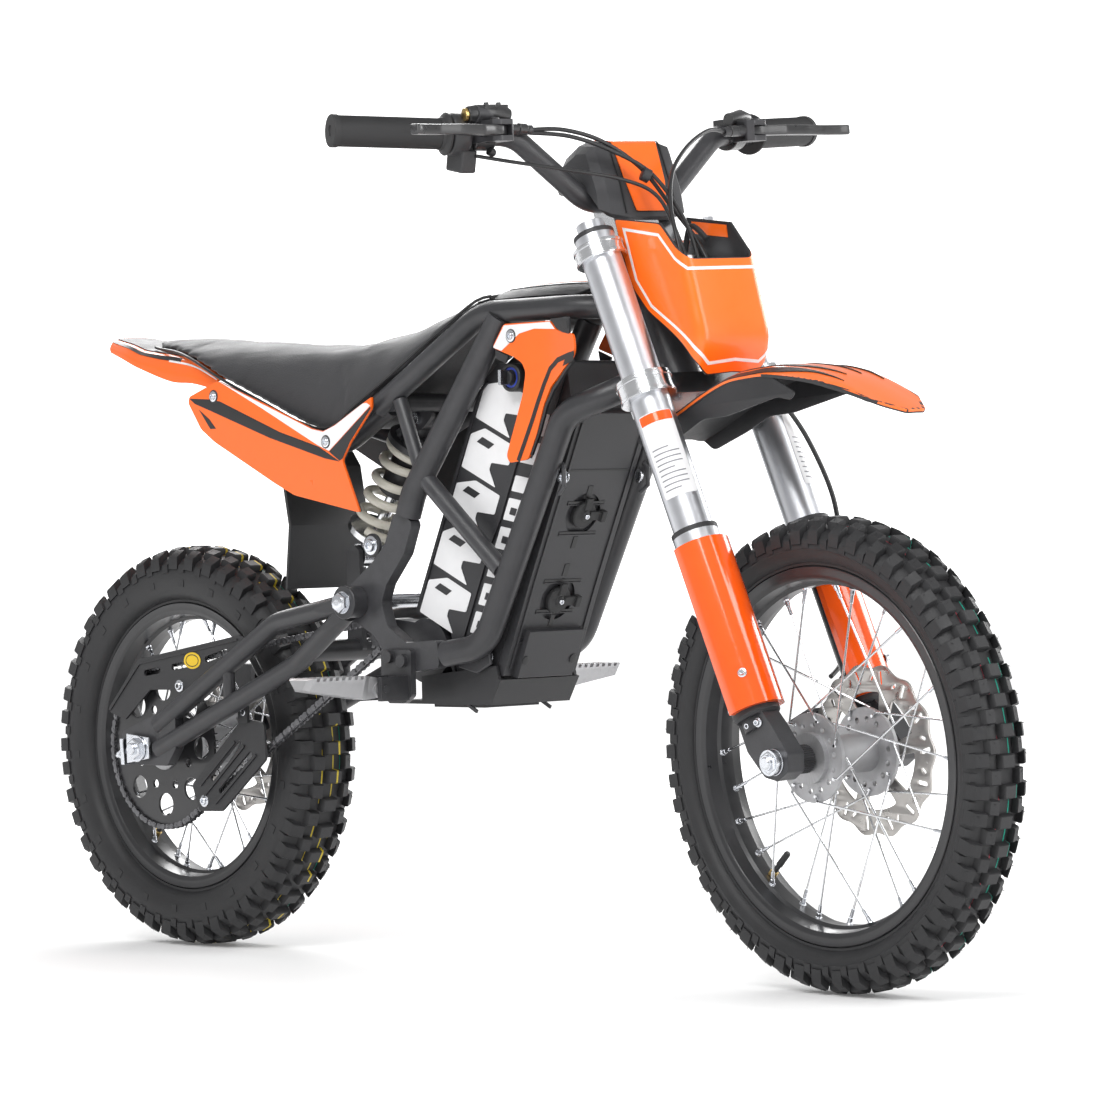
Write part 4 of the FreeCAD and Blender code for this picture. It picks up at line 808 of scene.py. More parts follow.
def side_covers():
    """Covers under the seat."""
    outline = [(158, 645), (108, 629), (106, 622), (126, 592), (149, 577), (249, 529), (282, 515), (390, 494),
               (366, 551), (380, 570), (416, 606), (416, 618, 1), (400, 611), (356, 590), (336, 583.5), (317, 587), (234, 618)]
    white = [(160, 645), (234, 617), (317, 586.5), (336, 583), (356, 589.5), (402, 611.5), (408, 612), (414, 609), (345, 562),
             (328, 568), (234, 612)]
    dark = [(109, 627), (144, 625), (162, 622), (263, 585), (328, 567), (362, 550), (338, 554), (246, 579),
            (149, 611), (118, 621)]
    nose = [(345, 561), (362, 551), (367, 553), (380, 571), (415, 606), (414, 608)]
    slot_mark = [(125, 614), (142, 603), (153, 592), (143, 592)]
    for tag, side in SIDES:
        surf = side_surf(side)
        up = -side
        skin(tag + "_side_cover", round_corners(outline, 4, 4), surf, ORANGE, "chassis", thick=2.8, step=8, bevel=0.9,
             replaces=("side_panels",), slot="orange_plastic")
        skin(tag + "_side_cover_back", round_corners(outline, 4, 4), surf, BLACK, "chassis", thick=1.6, step=14,
             lift=-2.0 * up, bevel=0.4, slot="black_plastic")
        decal(tag + "_side_white", white, surf, WHITE, "chassis", lift=1.55 * up)
        decal(tag + "_side_dark", dark, surf, DARK_LINE, "chassis", lift=1.55 * up)
        decal(tag + "_side_nose", nose, surf, BLACK, "chassis", lift=1.55 * up)
        # Painted shade: the slot is a flat dark decal standing for the shade in its recess.
        decal(tag + "_side_slot", slot_mark, surf, DARK_LINE, "chassis", lift=1.6 * up, r=0.3)
        for k, (x, z) in enumerate(((151, 628), (340, 572))):
            y = side * 99.6
            Build().bolt((x, y, z), (0, side, 0), 4.2, 3.6).make(f"{tag}_side_bolt_{k}", ZINC, "chassis",
                                                                slot="silver")
            Build().lathe((x, side * 97, z), (x, side * 101, z),
                          [(0, 7.4), (3.1, 7.4), (3.8, 6.6), (3.8, 5.8), (3.0, 5.6)], 24).make(
                f"{tag}_side_cup_{k}", BLACK, "chassis", slot="black_plastic")


TAIL = [(-107, 690, 706, 44, 36), (-58, 677, 697, 58, 48), (-30, 668, 689.5, 63, 52), (40, 649, 681, 70, 60),
        (84, 645, 671, 74, 66), (128, 636, 652, 76, 72)]


def stations_at(rows, x):
    """Values between the rows of a table whose first column is x, eased by a cubic through the rows."""
    x = max(rows[0][0], min(rows[-1][0], x))
    for i in range(len(rows) - 1):
        if x <= rows[i + 1][0]:
            break
    a, b = rows[i], rows[i + 1]
    before, after = rows[max(i - 1, 0)], rows[min(i + 2, len(rows) - 1)]
    t = (x - a[0]) / (b[0] - a[0])
    out = []
    for k in range(1, len(a)):
        m0 = (b[k] - before[k]) / (b[0] - before[0]) * (b[0] - a[0])
        m1 = (after[k] - a[k]) / (after[0] - a[0]) * (b[0] - a[0])
        out.append((2 * t ** 3 - 3 * t * t + 1) * a[k] + (t ** 3 - 2 * t * t + t) * m0
                   + (3 * t * t - 2 * t ** 3) * b[k] + (t ** 3 - t * t) * m1)
    return out


def tail_surf(x, v):
    """Tail fender skin: v runs across, 0 on top, beyond 60 down the sides."""
    low, high, wide, narrow = stations_at(TAIL, x)
    s = 1 if v >= 0 else -1
    t = abs(v) / 60
    if t <= 1:
        edge = max(0.0, (t - 0.8) / 0.2)
        return Vector((x, s * (t * narrow), high - 0.6 - 2.0 * t * t - 1.2 * edge * edge))
    k = min(1.6, t - 1)
    return Vector((x, s * (narrow + (wide - narrow) * min(1.0, 1.6 * k) ** 0.8), high - 3.8 - (high - low - 4) * k))


def tail():
    rim = [(-107, -30), (-105, -58), (-98, -118), (-40, -120), (128, -120), (126, 0), (128, 120), (-40, 120), (-98, 118),
           (-105, 58), (-107, 30)]
    skin("tail_shell", round_corners(rim, 3, 3), tail_surf, ORANGE, "chassis", thick=2.6, step=7, bevel=0.7,
         replaces=("rear_fender",), slot="orange_plastic", lift=-1.2)
    top = [(-104, -50), (-60, -52), (20, -54), (70, -56), (70, 56), (20, 54), (-60, 52), (-104, 50)]
    decal("tail_black_top", top, tail_surf, BLACK, "chassis", lift=0.55, thick=1.0)
    for tag, side in SIDES:
        stripe(tag + "_tail_black", [(-103, side * 62), (-40, side * 66), (10, side * 68), (52, side * 66)], 10, tail_surf, DARK_LINE,
               "chassis", lift=0.6, taper=False)
        stripe(tag + "_tail_white", [(30, side * 73), (80, side * 70), (126, side * 68)], 4.5, tail_surf, WHITE, "chassis",
               lift=0.6)
        stripe(tag + "_tail_lower_edge", [(-96, side * 118), (-40, side * 119), (126, side * 119)], 3, tail_surf, BLACK,
               "chassis", lift=-2.2, thick=2.6)
    stripe("tail_red_edge", [(-105, -45), (-105, 45)], 4, tail_surf, ORANGE_GLOSS, "chassis", lift=0.9)


PLATE_LINE = [(600, 857.5), (627, 866), (663, 878), (700, 870.3), (744, 859), (800, 845)]


def plate_surf(u, z):
    """Number plate skin: flat in front, rolled back at both sides."""
    x = stations_at([(a, b) for a, b in PLATE_LINE], z)[0] - 1.5
    s = 1 if u >= 0 else -1
    d = abs(u)
    crown = 1.6 * min(1.0, d / 40) ** 2
    if d <= 40:
        return Vector((x - crown, u, z))
    bend = 11.0
    arc = bend * math.pi / 2 * 0.96
    if d <= 40 + arc:
        a = (d - 40) / bend
        return Vector((x - 1.6 - bend * (1 - math.cos(a)), s * (40 + bend * math.sin(a) * 0.78), z))
    a = arc / bend
    d2 = d - 40 - arc
    return Vector((x - 1.6 - bend * (1 - math.cos(a)) - d2, s * (40 + bend * math.sin(a) * 0.78 + 0.02 * d2), z))


def both_halves(half):
    return list(half) + [(-p[0], *p[1:]) for p in reversed(half) if p[0]]


def number_plate():
    half = [(0, 744), (42, 744, 8), (56, 756, 8), (72, 782, 5), (138, 791, 4), (134, 722, 10), (116, 694, 8), (33, 627, 3), (0, 629)]
    outline = round_corners(both_halves(half), 2, 5)
    skin("plate_skin", outline, plate_surf, ORANGE_PLATE, "steering", front=True, thick=1.6, step=5, bevel=0.5,
         replaces=("number_plate",), slot="orange_plastic")
    skin("plate_backing", outline, plate_surf, BLACK, "steering", front=True, thick=1.8, step=8, lift=-1.9, bevel=0.5,
         slot="black_plastic")
    line = [(0, 734.5), (47, 734.5), (60, 746), (77, 771), (127, 780), (124.5, 727), (110, 699.5), (34, 638), (0, 641)]
    stripe("plate_white_line", both_halves(line), 3.2, plate_surf, WHITE, "steering", front=True, lift=1.0, closed=True,
           step=4)
    stripe("plate_edge_line", both_halves([(p[0], p[1]) for p in half]), 2.2, plate_surf, BLACK, "steering", front=True,
           lift=-0.9, closed=True, step=4, thick=2.4)
    for tag, side in SIDES:
        stripe(tag + "_plate_tab", [(side * 78, 774), (side * 131, 781)], 13, plate_surf, ORANGE_PLATE, "steering", front=True,
               lift=-3.3, step=4, thick=1.0)
    for y in (-30, 30):
        hook = Build().tube(smooth_path([fork(560, 6, y), fork(585, 30, y), fork(560, 50, y * 0.9)], 5), 3, 8)
        hook.make(f"plate_strap_{'r' if y < 0 else 'l'}", RUBBER, "steering", front=True, slot="rubber")


FENDER_LINE = [(772, 566), (836, 598), (905, 626), (950, 632), (975, 632), (1020, 626), (1060, 614), (1134, 581)]


def fender_surf(x, y):
    """Front fender skin, crowned across and curved along."""
    z = stations_at([(a, b) for a, b in FENDER_LINE], x)[0]
    drop = 9.0 * (abs(y) / 50) ** 2.2
    ridge = 1.8 * math.exp(-((abs(y) - 34) / 7) ** 2)
    return Vector((x, y, z - drop + ridge - 1.2))


def front_fender():
    half = [(1133, 12, 4), (1100, 35, 20), (1010, 50, 20), (836, 50, 20), (762, 38, 6)]
    outline = round_corners(half + [(p[0], -p[1], p[2]) for p in reversed(half)], 6, 5)
    skin("fender_blade", outline, fender_surf, ORANGE_FADE, "steering", front=True, thick=2.4, step=7, bevel=0.8,
         replaces=("front_fender",), slot="orange_plastic")
    skin("fender_under", outline, fender_surf, BLACK, "steering", front=True, thick=1.6, step=10, lift=-2.2, bevel=0.4,
         slot="black_plastic")
    rim = [(1131, 11), (1099, 33.5), (1055, 43), (1010, 48.6), (965, 49)]
    stripe("fender_lip", [(p[0], -p[1]) for p in reversed(rim)] + rim, 3.0, fender_surf, BLACK, "steering",
           front=True, lift=-0.6, thick=3.6)
    for tag, side in SIDES:
        inner = [(764, side * 20), (800, side * 22), (905, side * 25), (960, side * 23), (1000, side * 17), (1046, side * 10)]
        outer = [(764, side * 42), (836, side * 47), (940, side * 45), (985, side * 40), (1060, side * 27)]
        stripe(tag + "_fender_inner_band", inner, 9, fender_surf, BLACK, "steering", front=True, lift=1.7, thick=1.0,
               taper=True)
        stripe(tag + "_fender_outer_band", outer, 9, fender_surf, BLACK, "steering", front=True, lift=1.7, thick=1.0,
               taper=True)
        wall = [(762, 562), (800, 580), (836, 592), (905, 619), (950, 625), (978, 620), (1012, 604), (1004, 596), (985, 600),
                (905, 583), (870, 581), (836, 566), (785, 548)]
        flat_piece(tag + "_fender_wall", [round_corners(wall, 6, 4)], 2.6,
                   lambda u, v, w, side=side: Vector((u, side * (47.6 - 0.10 * max(0.0, 600 - v)) + w, v)), BLACK,
                   "steering", front=True, bevel=0.6, slot="black_plastic")
    mount = Build()
    for x, y in ((808, -16), (808, 16), (836, -16), (836, 16)):
        top = fender_surf(x, y)
        mount.bolt((x, y, top.z + 0.6), (0, 0, 1), 4, 3)
    mount.make("fender_bolts", ZINC, "steering", front=True, slot="silver")


ORANGE_PLATE = finish("orange_plate", (0.96, 0.15, 0.004), 0.34, coat=0.25, tint=0.04, grain=0.04, spread=0.05, bevel=0)
ORANGE_FADE = finish("orange_fender", (0.96, 0.16, 0.010), 0.30, coat=0.35, tint=0.05, grain=0.05, spread=0.05, bevel=0)


def tank_surf(x, y):
    low, high, wide, narrow = stations_at([(560, 712, 725, 66, 50), (574, 713, 729, 64, 49), (640, 714, 732, 58, 43),
                                           (692, 714, 729, 46, 33), (704, 712, 725, 40, 26)], x)
    t = min(1.3, abs(y) / wide)
    return Vector((x, y, high - 1.5 - (high - low) * t ** 3.2 * 0.9))


def tank():
    outline = [(572, -63), (640, -57), (684, -48), (699, -30), (703, 0), (699, 30), (684, 48), (640, 57), (572, 63)]
    skin("tank_top", round_corners(outline, 6, 4), tank_surf, BLACK, "chassis", thick=3, step=6, bevel=0.9,
         replaces=("tank_cover",), slot="black_plastic")
    decal("tank_sticker", [(592, -30), (676, -20), (688, 0), (676, 20), (592, 30), (604, 0)], tank_surf, ORANGE, "chassis",
          lift=1.7, r=2)
    for y in (-36, 36):
        stripe(f"tank_ridge_{'r' if y < 0 else 'l'}", [(576, y * 1.15), (640, y), (690, y * 0.7)], 3, tank_surf, DARK_LINE,
               "chassis", lift=1.7, thick=1.2, taper=True)


SEAT = [(-27, 691, 703, 38, 28), (-10, 688, 702, 45, 34), (40, 682, 698, 62, 48), (84, 672, 692, 76, 56), (141, 649, 686, 84, 60),
        (213, 621, 680, 86, 60), (290, 591, 676.5, 86, 58), (325, 586, 678, 86, 56), (345, 592, 680, 85.5, 55.5),
        (360, 603, 683, 85, 55), (413, 633, 689, 82, 54), (470, 667, 703, 78, 52), (511, 691, 713, 74, 52), (552, 715, 724.5, 68, 50),
        (574, 719, 727.5, 64, 50)]


def seat_loop(x, grow=0.0):
    """Closed section of the seat at x: flat base, bulging sides, rounded shoulders, crowned top."""
    low, high, wide, narrow = stations_at(SEAT, x)
    wide, narrow, high = wide - grow, narrow - grow * 0.5, high - grow
    deep = max(4.0, high - low)
    crown = min(4.0, deep * 0.12)
    half = [(0, low), (wide * 0.55, low), (wide - 5, low), (wide - 0.6, low + 0.6), (wide, low + 0.10 * deep)]
    for t in (0.25, 0.42, 0.58, 0.72, 0.84):
        bulge = 2.2 * math.sin(math.pi * t)
        half.append((wide + (narrow - wide) * t ** 1.25 + bulge, low + deep * t))
    half += [(narrow - 1.0, high - 0.055 * deep), (narrow - 6, high - 0.4), (narrow * 0.6, high + crown * 0.35),
             (narrow * 0.3, high + crown * 0.72), (0, high + crown * 0.8)]
    full = half + [(-y, z) for y, z in reversed(half[1:-1])]
    return [Vector((x, y, z)) for y, z in full]


def swell(obj, voxel, cap, base):
    """Puff a closed cushion with cloth pressure over its fixed base, and keep the result as a plain mesh."""
    scene = bpy.context.scene
    remesh = obj.modifiers.new("even", "REMESH")
    remesh.mode = "VOXEL"
    remesh.voxel_size = voxel * MM
    bpy.context.view_layer.update()
    even = bpy.data.meshes.new_from_object(obj.evaluated_get(bpy.context.evaluated_depsgraph_get()))
    obj.modifiers.clear()
    obj.data = even
    fixed = obj.vertex_groups.new(name="base")
    fixed.add([v.index for v in even.vertices if base(v.co)], 1.0, "REPLACE")
    cloth = obj.modifiers.new("swell", "CLOTH")
    cloth.settings.quality = 4
    cloth.settings.use_pressure = True
    cloth.settings.uniform_pressure_force = SEAT_PRESSURE
    cloth.settings.effector_weights.gravity = 0.0
    cloth.settings.vertex_group_mass = "base"
    cloth.point_cache.frame_start = 1
    cloth.point_cache.frame_end = SEAT_FRAMES
    for frame_number in range(1, SEAT_FRAMES + 1):
        scene.frame_set(frame_number)
    puffed = obj.evaluated_get(bpy.context.evaluated_depsgraph_get()).to_mesh()
    moved = [after.co - before.co for before, after in zip(even.vertices, puffed.vertices)]
    for v, d in zip(even.vertices, moved):
        v.co += d * min(1.0, cap * MM / max(d.length, 1e-9))
    obj.modifiers.clear()
    obj.vertex_groups.clear()
    scene.frame_set(1)
    for poly in even.polygons:
        poly.use_smooth = True
    fine = obj.modifiers.new("fine", "SUBSURF")
    fine.levels = 1
    fine.render_levels = 1


SEAT_PRESSURE = 4.0
SEAT_FRAMES = 20
SEAT_SHRINK = 4.0
SEAT_VOXEL = 6.0
SEAT_CAP = 6.0


def seat_base(co):
    """True on the flat underside of the seat."""
    x = (co.x - place((0, 0, 0)).x) / MM
    return co.z < place((0, 0, stations_at(SEAT, x)[0] + 3.0)).z


def seat():
    xs = [-27, -26, -22] + [-14 + i * 9.8 for i in range(60)] + [573.5]
    shrink = SEAT_SHRINK
    build = Build().rings([seat_loop(x, shrink) for x in xs if x <= 573.5])
    body = build.make("seat_pad", VINYL, None, smooth=58, slot="seat_vinyl")
    swell(body, SEAT_VOXEL, SEAT_CAP, seat_base)
    pressed(body, 1.2)
    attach(body, "chassis")
    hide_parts("seat")
    for tag, side in SIDES:
        line = []
        for i in range(61):
            x = -24 + i * 9.9
            low, high, wide, narrow = stations_at(SEAT, x)
            line.append(Vector((x, side * (wide - 0.4), low + 0.8)))
        Build().tube(line, 1.7, 8).make(tag + "_seat_piping", HOSE, "chassis", smooth=60, slot="seat_vinyl")


def pressed(obj, amount):
    """Slight unevenness of stuffed vinyl, pushed along the normals."""
    mesh = obj.data
    normals = [v.normal.copy() for v in mesh.vertices]
    for v, normal in zip(mesh.vertices, normals):
        n = noise.noise(v.co * 14.0) + 0.5 * noise.noise(v.co * 31.0)
        v.co += normal * n * amount * MM * (1.0 if normal.z > -0.5 else 0.0)


shrouds()
side_covers()
tail()
number_plate()
front_fender()
tank()
seat()

# ---------------------------------------------------------------- battery

CASE_BACK = Vector((426, 0, 383))
CASE_UP = Vector((0.42, 0, 0.9075))
CASE_AHEAD = Vector((0.9075, 0, -0.42))


def case_surf(side):
    """Side face of the battery case: u up along it, v from its rear edge forward."""
    def at(u, v):
        p = CASE_BACK + CASE_UP * u + CASE_AHEAD * v
        return Vector((p.x, side * 53.1, p.z))
    return at


def cover_surf(y, t):
    """Front face of the battery cover: t up along it from its bend."""
    up = Vector((0.4248, 0, 0.9053)) if t >= 0 else Vector((0.405, 0, 0.9143))
    return Vector((606, y, 413)) + up * t


def battery_graphics():
    """Slanted blocks on both sides of the case, between moulded ribs."""
    for tag, side in SIDES:
        surf = case_surf(side)
        up = side
        for k in range(5):
            u = 6 + 57 * k
            v0, v1 = 7, 74
            cut = 18 if k % 2 else 26
            block_a = [(u, v0), (u + 52 - 14, v0), (u + 52, v0 + cut), (u + 52, v1), (u + 30, v1), (u + 22, v1 - 26),
                       (u + 14, v1 - 26), (u, v1 - 10)]
            decal(f"{tag}_case_block_{k}", block_a, surf, WHITE, "chassis", lift=0.5 * up, r=2.0, step=30)
            if k < 4:
                notch = [(u + 34, v0 + 12), (u + 42, v0 + 18), (u + 42, v0 + 38), (u + 34, v0 + 32)]
                decal(f"{tag}_case_notch_{k}", notch, surf, PANEL, "chassis", lift=0.95 * up, r=0.6, step=30)
        for k in range(9):
            u = -14 + 33 * k
            long = 25 if k % 3 else 18
            bar = [(u, 88), (u + long, 88), (u + long + 6, 111), (u + 6, 111)]
            decal(f"{tag}_case_bar_{k}", bar, surf, WHITE, "chassis", lift=0.5 * up, r=1.6, step=30)
            if k % 3:
                slot_mark = [(u + 9, 95), (u + 17, 95), (u + 19, 104), (u + 11, 104)]
                decal(f"{tag}_case_bar_cut_{k}", slot_mark, surf, PANEL, "chassis", lift=0.95 * up, r=0.6, step=30)
        ribs = [[(-22, 81), (120, 81), (150, 84), (300, 84)], [(-40, 116), (330, 116)],
                [(20, 4), (262, 4), (276, 10)], [(-10, 60), (-30, 84), (-52, 88), (-54, 132)]]
        for k, path in enumerate(ribs):
            stripe(f"{tag}_case_rib_{k}", path, 3.6, surf, PANEL, "chassis", lift=1.2 * up, thick=2.4)


def cover_details():
    """Slots, ridges, latches and bolts on the front of the battery; the slots, notches and low holes are flat dark
    marks, painted shade standing for their recesses.
    """
    marks = (76.0, -14.5)
    for k, t in enumerate(marks):
        y0 = -5
        for j, (dt, wide) in enumerate(((19, 54), (-16, 54), (46 if k == 0 else 44, 0))):
            if wide:
                # Painted shade: each slot is a thin dark stripe standing for the shade in the opening.
                stripe(f"cover_slot_{k}_{j}", [(y0 - wide / 2, t + dt), (y0 + wide / 2, t + dt)], 2.6, cover_surf,
                       DARK_LINE, "chassis", lift=0.35, thick=0.7)
                stripe(f"cover_slot_lip_{k}_{j}", [(y0 - wide / 2, t + dt - 2.6), (y0 + wide / 2, t + dt - 2.6)], 1.2,
                       cover_surf, PANEL, "chassis", lift=0.6, thick=1.2)
        # Painted shade: the notches are thin dark stripes standing for the shade in the recess.
        stripe(f"cover_notch_{k}", [(y0, t + 24), (y0, t + 38)], 7, cover_surf, DARK_LINE, "chassis", lift=0.4, thick=0.7)
        stripe(f"cover_notch_low_{k}", [(y0, t - 21), (y0, t - 34)], 6, cover_surf, DARK_LINE, "chassis", lift=0.4,
               thick=0.7)
        out = Vector((0.903, 0, -0.43))
        mark = (Vector((636.1, -5, 488.9)), Vector((594.4, -5, 399.1)))[k]
        body = ("upper_latch_body", "lower_latch_body")[k]
        rubber = Build()
        rubber.lathe(mark - out * 1.5, mark + out * 12, [(0, 6), (4.5, 6), (4.6, 15.5), (9.5, 15.5), (10.6, 14.4),
                                                       (10.8, 6.2), (12.4, 5.4), (12.6, 3)], 28)
        turn = Matrix((out, Vector((0, 1, 0)), out.cross(Vector((0, 1, 0))))).transposed()
        rubber.box(mark + out * 9.4 + Vector((0, 16, 0)), (4.6, 22, 10), turn)
        rubber.box(mark + out * 10.6 + Vector((0, 24, 0)), (7.6, 7, 12.5), turn)
        rubber.box(mark + out * 9.0 + turn @ Vector((0, 0, 13)), (3.6, 9, 14), turn)
        rubber.make(("upper", "lower")[k] + "_latch_strap", RUBBER, body, bevel=0.9,
                    replaces=(("upper_latch", "lower_latch")[k],), slot="rubber")
        Build().bolt(mark + out * 11, out, 3.0, 2.6, washer=False).make(("upper", "lower")[k] + "_latch_screw", ZINC, body,
                                                                       slot="silver")
    stripe("cover_ridge_left", [(46, -96), (46, 10), (46, 186)], 2.4, cover_surf, PANEL, "chassis", lift=0.8, thick=1.6)
    stripe("cover_ridge_right", [(-46, -96), (-46, 10), (-46, 186)], 2.4, cover_surf, PANEL, "chassis", lift=0.8, thick=1.6)
    stripe("cover_seam", [(-50, 132), (50, 132)], 2.2, cover_surf, DARK_LINE, "chassis", lift=0.3, thick=0.6)
    stripe("cover_low_seam", [(-44, -62), (30, -62), (40, -52), (50, -52)], 2.6, cover_surf, DARK_LINE, "chassis", lift=0.4,
           thick=0.8)
    stripe("cover_low_ridge", [(-44, -66), (30, -66), (41, -56), (50, -56)], 2.0, cover_surf, PANEL, "chassis", lift=0.9,
           thick=1.8)
    for k, y in enumerate((-36, 34)):
        # Painted shade: each hole is a thin dark disc standing for the shade inside it.
        at = cover_surf(y, -84) + Vector((0.914, 0, -0.405)) * 9.8
        Build().lathe(at - Vector((1, 0, -0.4)) * 0.6, at + Vector((1, 0, -0.4)) * 0.4, [(0, 5.2), (0.7, 5.2), (0.9, 4.4)], 20).make(
            f"cover_low_hole_{k}", DARK_LINE, "chassis", slot="black_plastic")
    bracket = Build()
    for side in (-1, 1):
        bracket.tube([(668, side * 60, 540), (672, side * 62, 534), (672, side * 62, 516), (662, side * 60, 508)], 2.4, 8)
    bracket.make("case_wire_clips", FRAME, "chassis", slot="frame_black")
    screws = Build()
    for side in (-1, 1):
        screws.bolt((664, side * 55, 526), (0.3, side, -0.1), 5.0, 4.6)
        screws.bolt((545, side * 58, 337), (0, side, 0), 6.0, 5.0)
    screws.make("case_screws", ZINC, "chassis", slot="silver")
    ears = Build()
    for side in (-1, 1):
        ears.prism([(520, side * 60, 352), (548, side * 60, 368), (556, side * 60, 330), (534, side * 60, 320),
                    (505, side * 60, 326)], (0, side * 4, 0))
    ears.make("case_ears", FRAME, "chassis", bevel=1.2, slot="frame_black")


def lock_details():
    ring = Build().lathe((601, -65.5, 632), (601, -70, 632), [(0, 15.0), (2.4, 15.0), (3.2, 14.0), (3.2, 11.5), (1.2, 11.0)], 32)
    ring.make("lock_bezel", BLACK, "chassis", slot="black_plastic")
    blue = Build().lathe((601, -66.2, 632), (601, -69, 632), [(0, 10.8), (1.2, 10.8), (1.3, 8.6), (0.2, 8.4)], 32)
    blue.make("lock_blue_ring", BLUE, "chassis", slot="black_plastic")
    knob = Build()
    knob.lathe((601, -69.5, 632), (601, -74, 632), [(0, 7.8), (3.6, 7.4), (4.4, 6.4), (4.4, 3.2)], 24)
    knob.box((601, -76, 632), (4.0, 9, 15))
    knob.make("key_knob", BLACK, "key", bevel=0.7, slot="black_plastic")


# ---------------------------------------------------------------- fork

def outer_tube_surf(y):
    """Outside of a fork tube: u round it in millimetres (0 faces forward), v up the fork line."""
    def at(u, v):
        a = u / 21.0
        centre = fork(v, 0, y)
        return centre + AHEAD * (21.1 * math.cos(a)) + Vector((0, 21.1 * math.sin(a), 0))
    return at


def fork_details():
    for tag, side in SIDES:
        y = side * FORK_HALF
        surf = outer_tube_surf(y)
        shift = side * 16
        label = [(shift - 19, 292), (shift + 19, 292), (shift + 19, 384), (shift - 19, 384)]
        decal(tag + "_fork_label", label, surf, WHITE, "steering", front=True, lift=0.3, r=3, step=4, thick=0.25)
        head = [(shift - 18, 373), (shift + 18, 373), (shift + 18, 383), (shift - 18, 383)]
        decal(tag + "_fork_label_head", head, surf, ORANGE_GLOSS, "steering", front=True, lift=0.55, r=1.5, step=4,
              thick=0.2)
        for k in range(9):
            z = 300 + 5.6 * k
            long = 14 if k % 4 else 9
            stripe(f"{tag}_fork_label_row_{k}", [(shift - 15, z), (shift - 15 + 2 * long, z)], 1.3, surf, GREY_LINE,
                   "steering", front=True, lift=0.5, step=4, thick=0.15)
        rings = Build()
        for s, r, h in ((226, 24.4, 4), (236, 22.6, 3), (252, 24.2, 6)):
            rings.lathe(fork(s, 0, y), fork(s + h, 0, y), [(0, 21.2), (0.4, r), (h - 0.4, r), (h, 21.2)], 48)
        rings.make(tag + "_fork_seal_rings", BLACK, "steering", front=True, slot="black_plastic")
        cap = Build()
        cap.lathe(fork(588, 0, y), fork(600, 0, y), [(0, 21.6), (4.2, 21.6), (5.2, 20.4), (5.4, 16)], 48)
        cap.hexagon(fork(593, 0, y), fork(605, 0, y), 14.5)
        cap.make(tag + "_fork_cap", BLACK, "steering", front=True, bevel=0.4, slot="black_plastic")
        Build().lathe(fork(605, 0, y), fork(608, 0, y), [(0, 6), (1.4, 6), (2.0, 5), (2.0, 2.5)], 20).make(
            tag + "_fork_adjuster", RED, "steering", front=True, slot="black_plastic")
        bands = Build()
        for s in (405, 421, 562, 574):
            bands.lathe(fork(s, 0, y), fork(s + 4, 0, y), [(0, 26), (0, 29.8 if s < 500 else 27.0), (3.2, 29.8 if s < 500 else 27.0),
                                                        (3.2, 26)], 56)
        bands.make(tag + "_clamp_bands", POLISHED, "steering", front=True, slot="silver")
        pinch = Build()
        for s in (409, 421):
            base = fork(s, -16, y - side * 22)
            pinch.lathe(base, base + AHEAD * -14, [(0, 6.5), (12, 6.5), (14, 5.5)], 18)
            pinch.bolt(base - AHEAD * 13, -AHEAD, 3.6, 4.0, washer=False)
        base = fork(569, -14, y - side * 20)
        pinch.lathe(base, base + AHEAD * -14, [(0, 6), (12, 6), (14, 5)], 18)
        pinch.bolt(base - AHEAD * 13, -AHEAD, 3.4, 4.0, washer=False)
        pinch.make(tag + "_pinch_bolts", POLISHED, "steering", front=True, slot="silver")
        foot = Build()
        foot.lathe(fork(52, 0, y), fork(92, 0, y), [(0, 22), (3, 24.4), (30, 24.4), (34, 22.6), (38, 20.5), (39, 17.3)], 40)
        foot.make(tag + "_fork_shoe", BLACK, "fork_lower", front=True, slot="black_plastic")
        bolts = Build()
        bolts.bolt(fork(66, 12, y + side * 21), (0.25, side, 0.1), 3.6, 4.5)
        bolts.bolt(fork(44, 12, y + side * 13), (0.2, side, 0), 3.2, 4.5)
        bolts.bolt(fork(46, -2, y + side * 13), (0.1, side, 0), 3.2, 4.5)
        bolts.bolt(fork(94, 22, y + side * 21), (0.6, side, 0.3), 3.2, 5.0)
        bolts.make(tag + "_foot_bolts", ZINC, "fork_lower", front=True, slot="silver")
        axle = Build()
        x, z = WHEELBASE, FRONT_R
        axle.lathe((x, side * 88.2, z), (x, side * 92, z), [(0, 13.5), (1.8, 13.5), (2.2, 12.8)], 32)
        axle.hexagon((x, side * 90, z), (x, side * 99, z), 11.5)
        axle.lathe((x, side * 98, z), (x, side * 103, z), [(0, 6.2), (3.4, 6.2), (4.4, 5.2)], 20)
        axle.make(tag + "_axle_nut", ZINC, "fork_lower", front=True, slot="silver")
        knurl = Build()
        inner, outer_y = (50.8, 65.6) if side > 0 else (45.8, 65.6)
        knurl.lathe((x, side * inner, z), (x, side * outer_y, z),
                    [(0, 12.6), (1, 14.2), (outer_y - inner - 1, 14.2), (outer_y - inner, 13)], 72,
                    wave=lambda a: 1.0 + 0.022 * (1 if math.cos(36 * a) > 0 else -1))
        knurl.make(tag + "_axle_spacer", BLACK, "fork_lower", front=True, slot="dark_steel")


GREY_LINE = finish("grey_print", (0.22, 0.22, 0.24), 0.5, tint=0.1, grain=0.02, bevel=0)


# ---------------------------------------------------------------- handlebar and controls

BAR_KNEE, BAR_BEND, BAR_END = Vector((700, 52, 811)), Vector((700, 138, 881)), Vector((640, 322, 891))
BAR_KNEE = Vector((710, 52, 811))


def on_bar(t, side):
    """Point t outward from the bend along the straight end of the bar."""
    p = BAR_BEND + (BAR_END - BAR_BEND).normalized() * t
    return Vector((p.x, side * p.y, p.z))


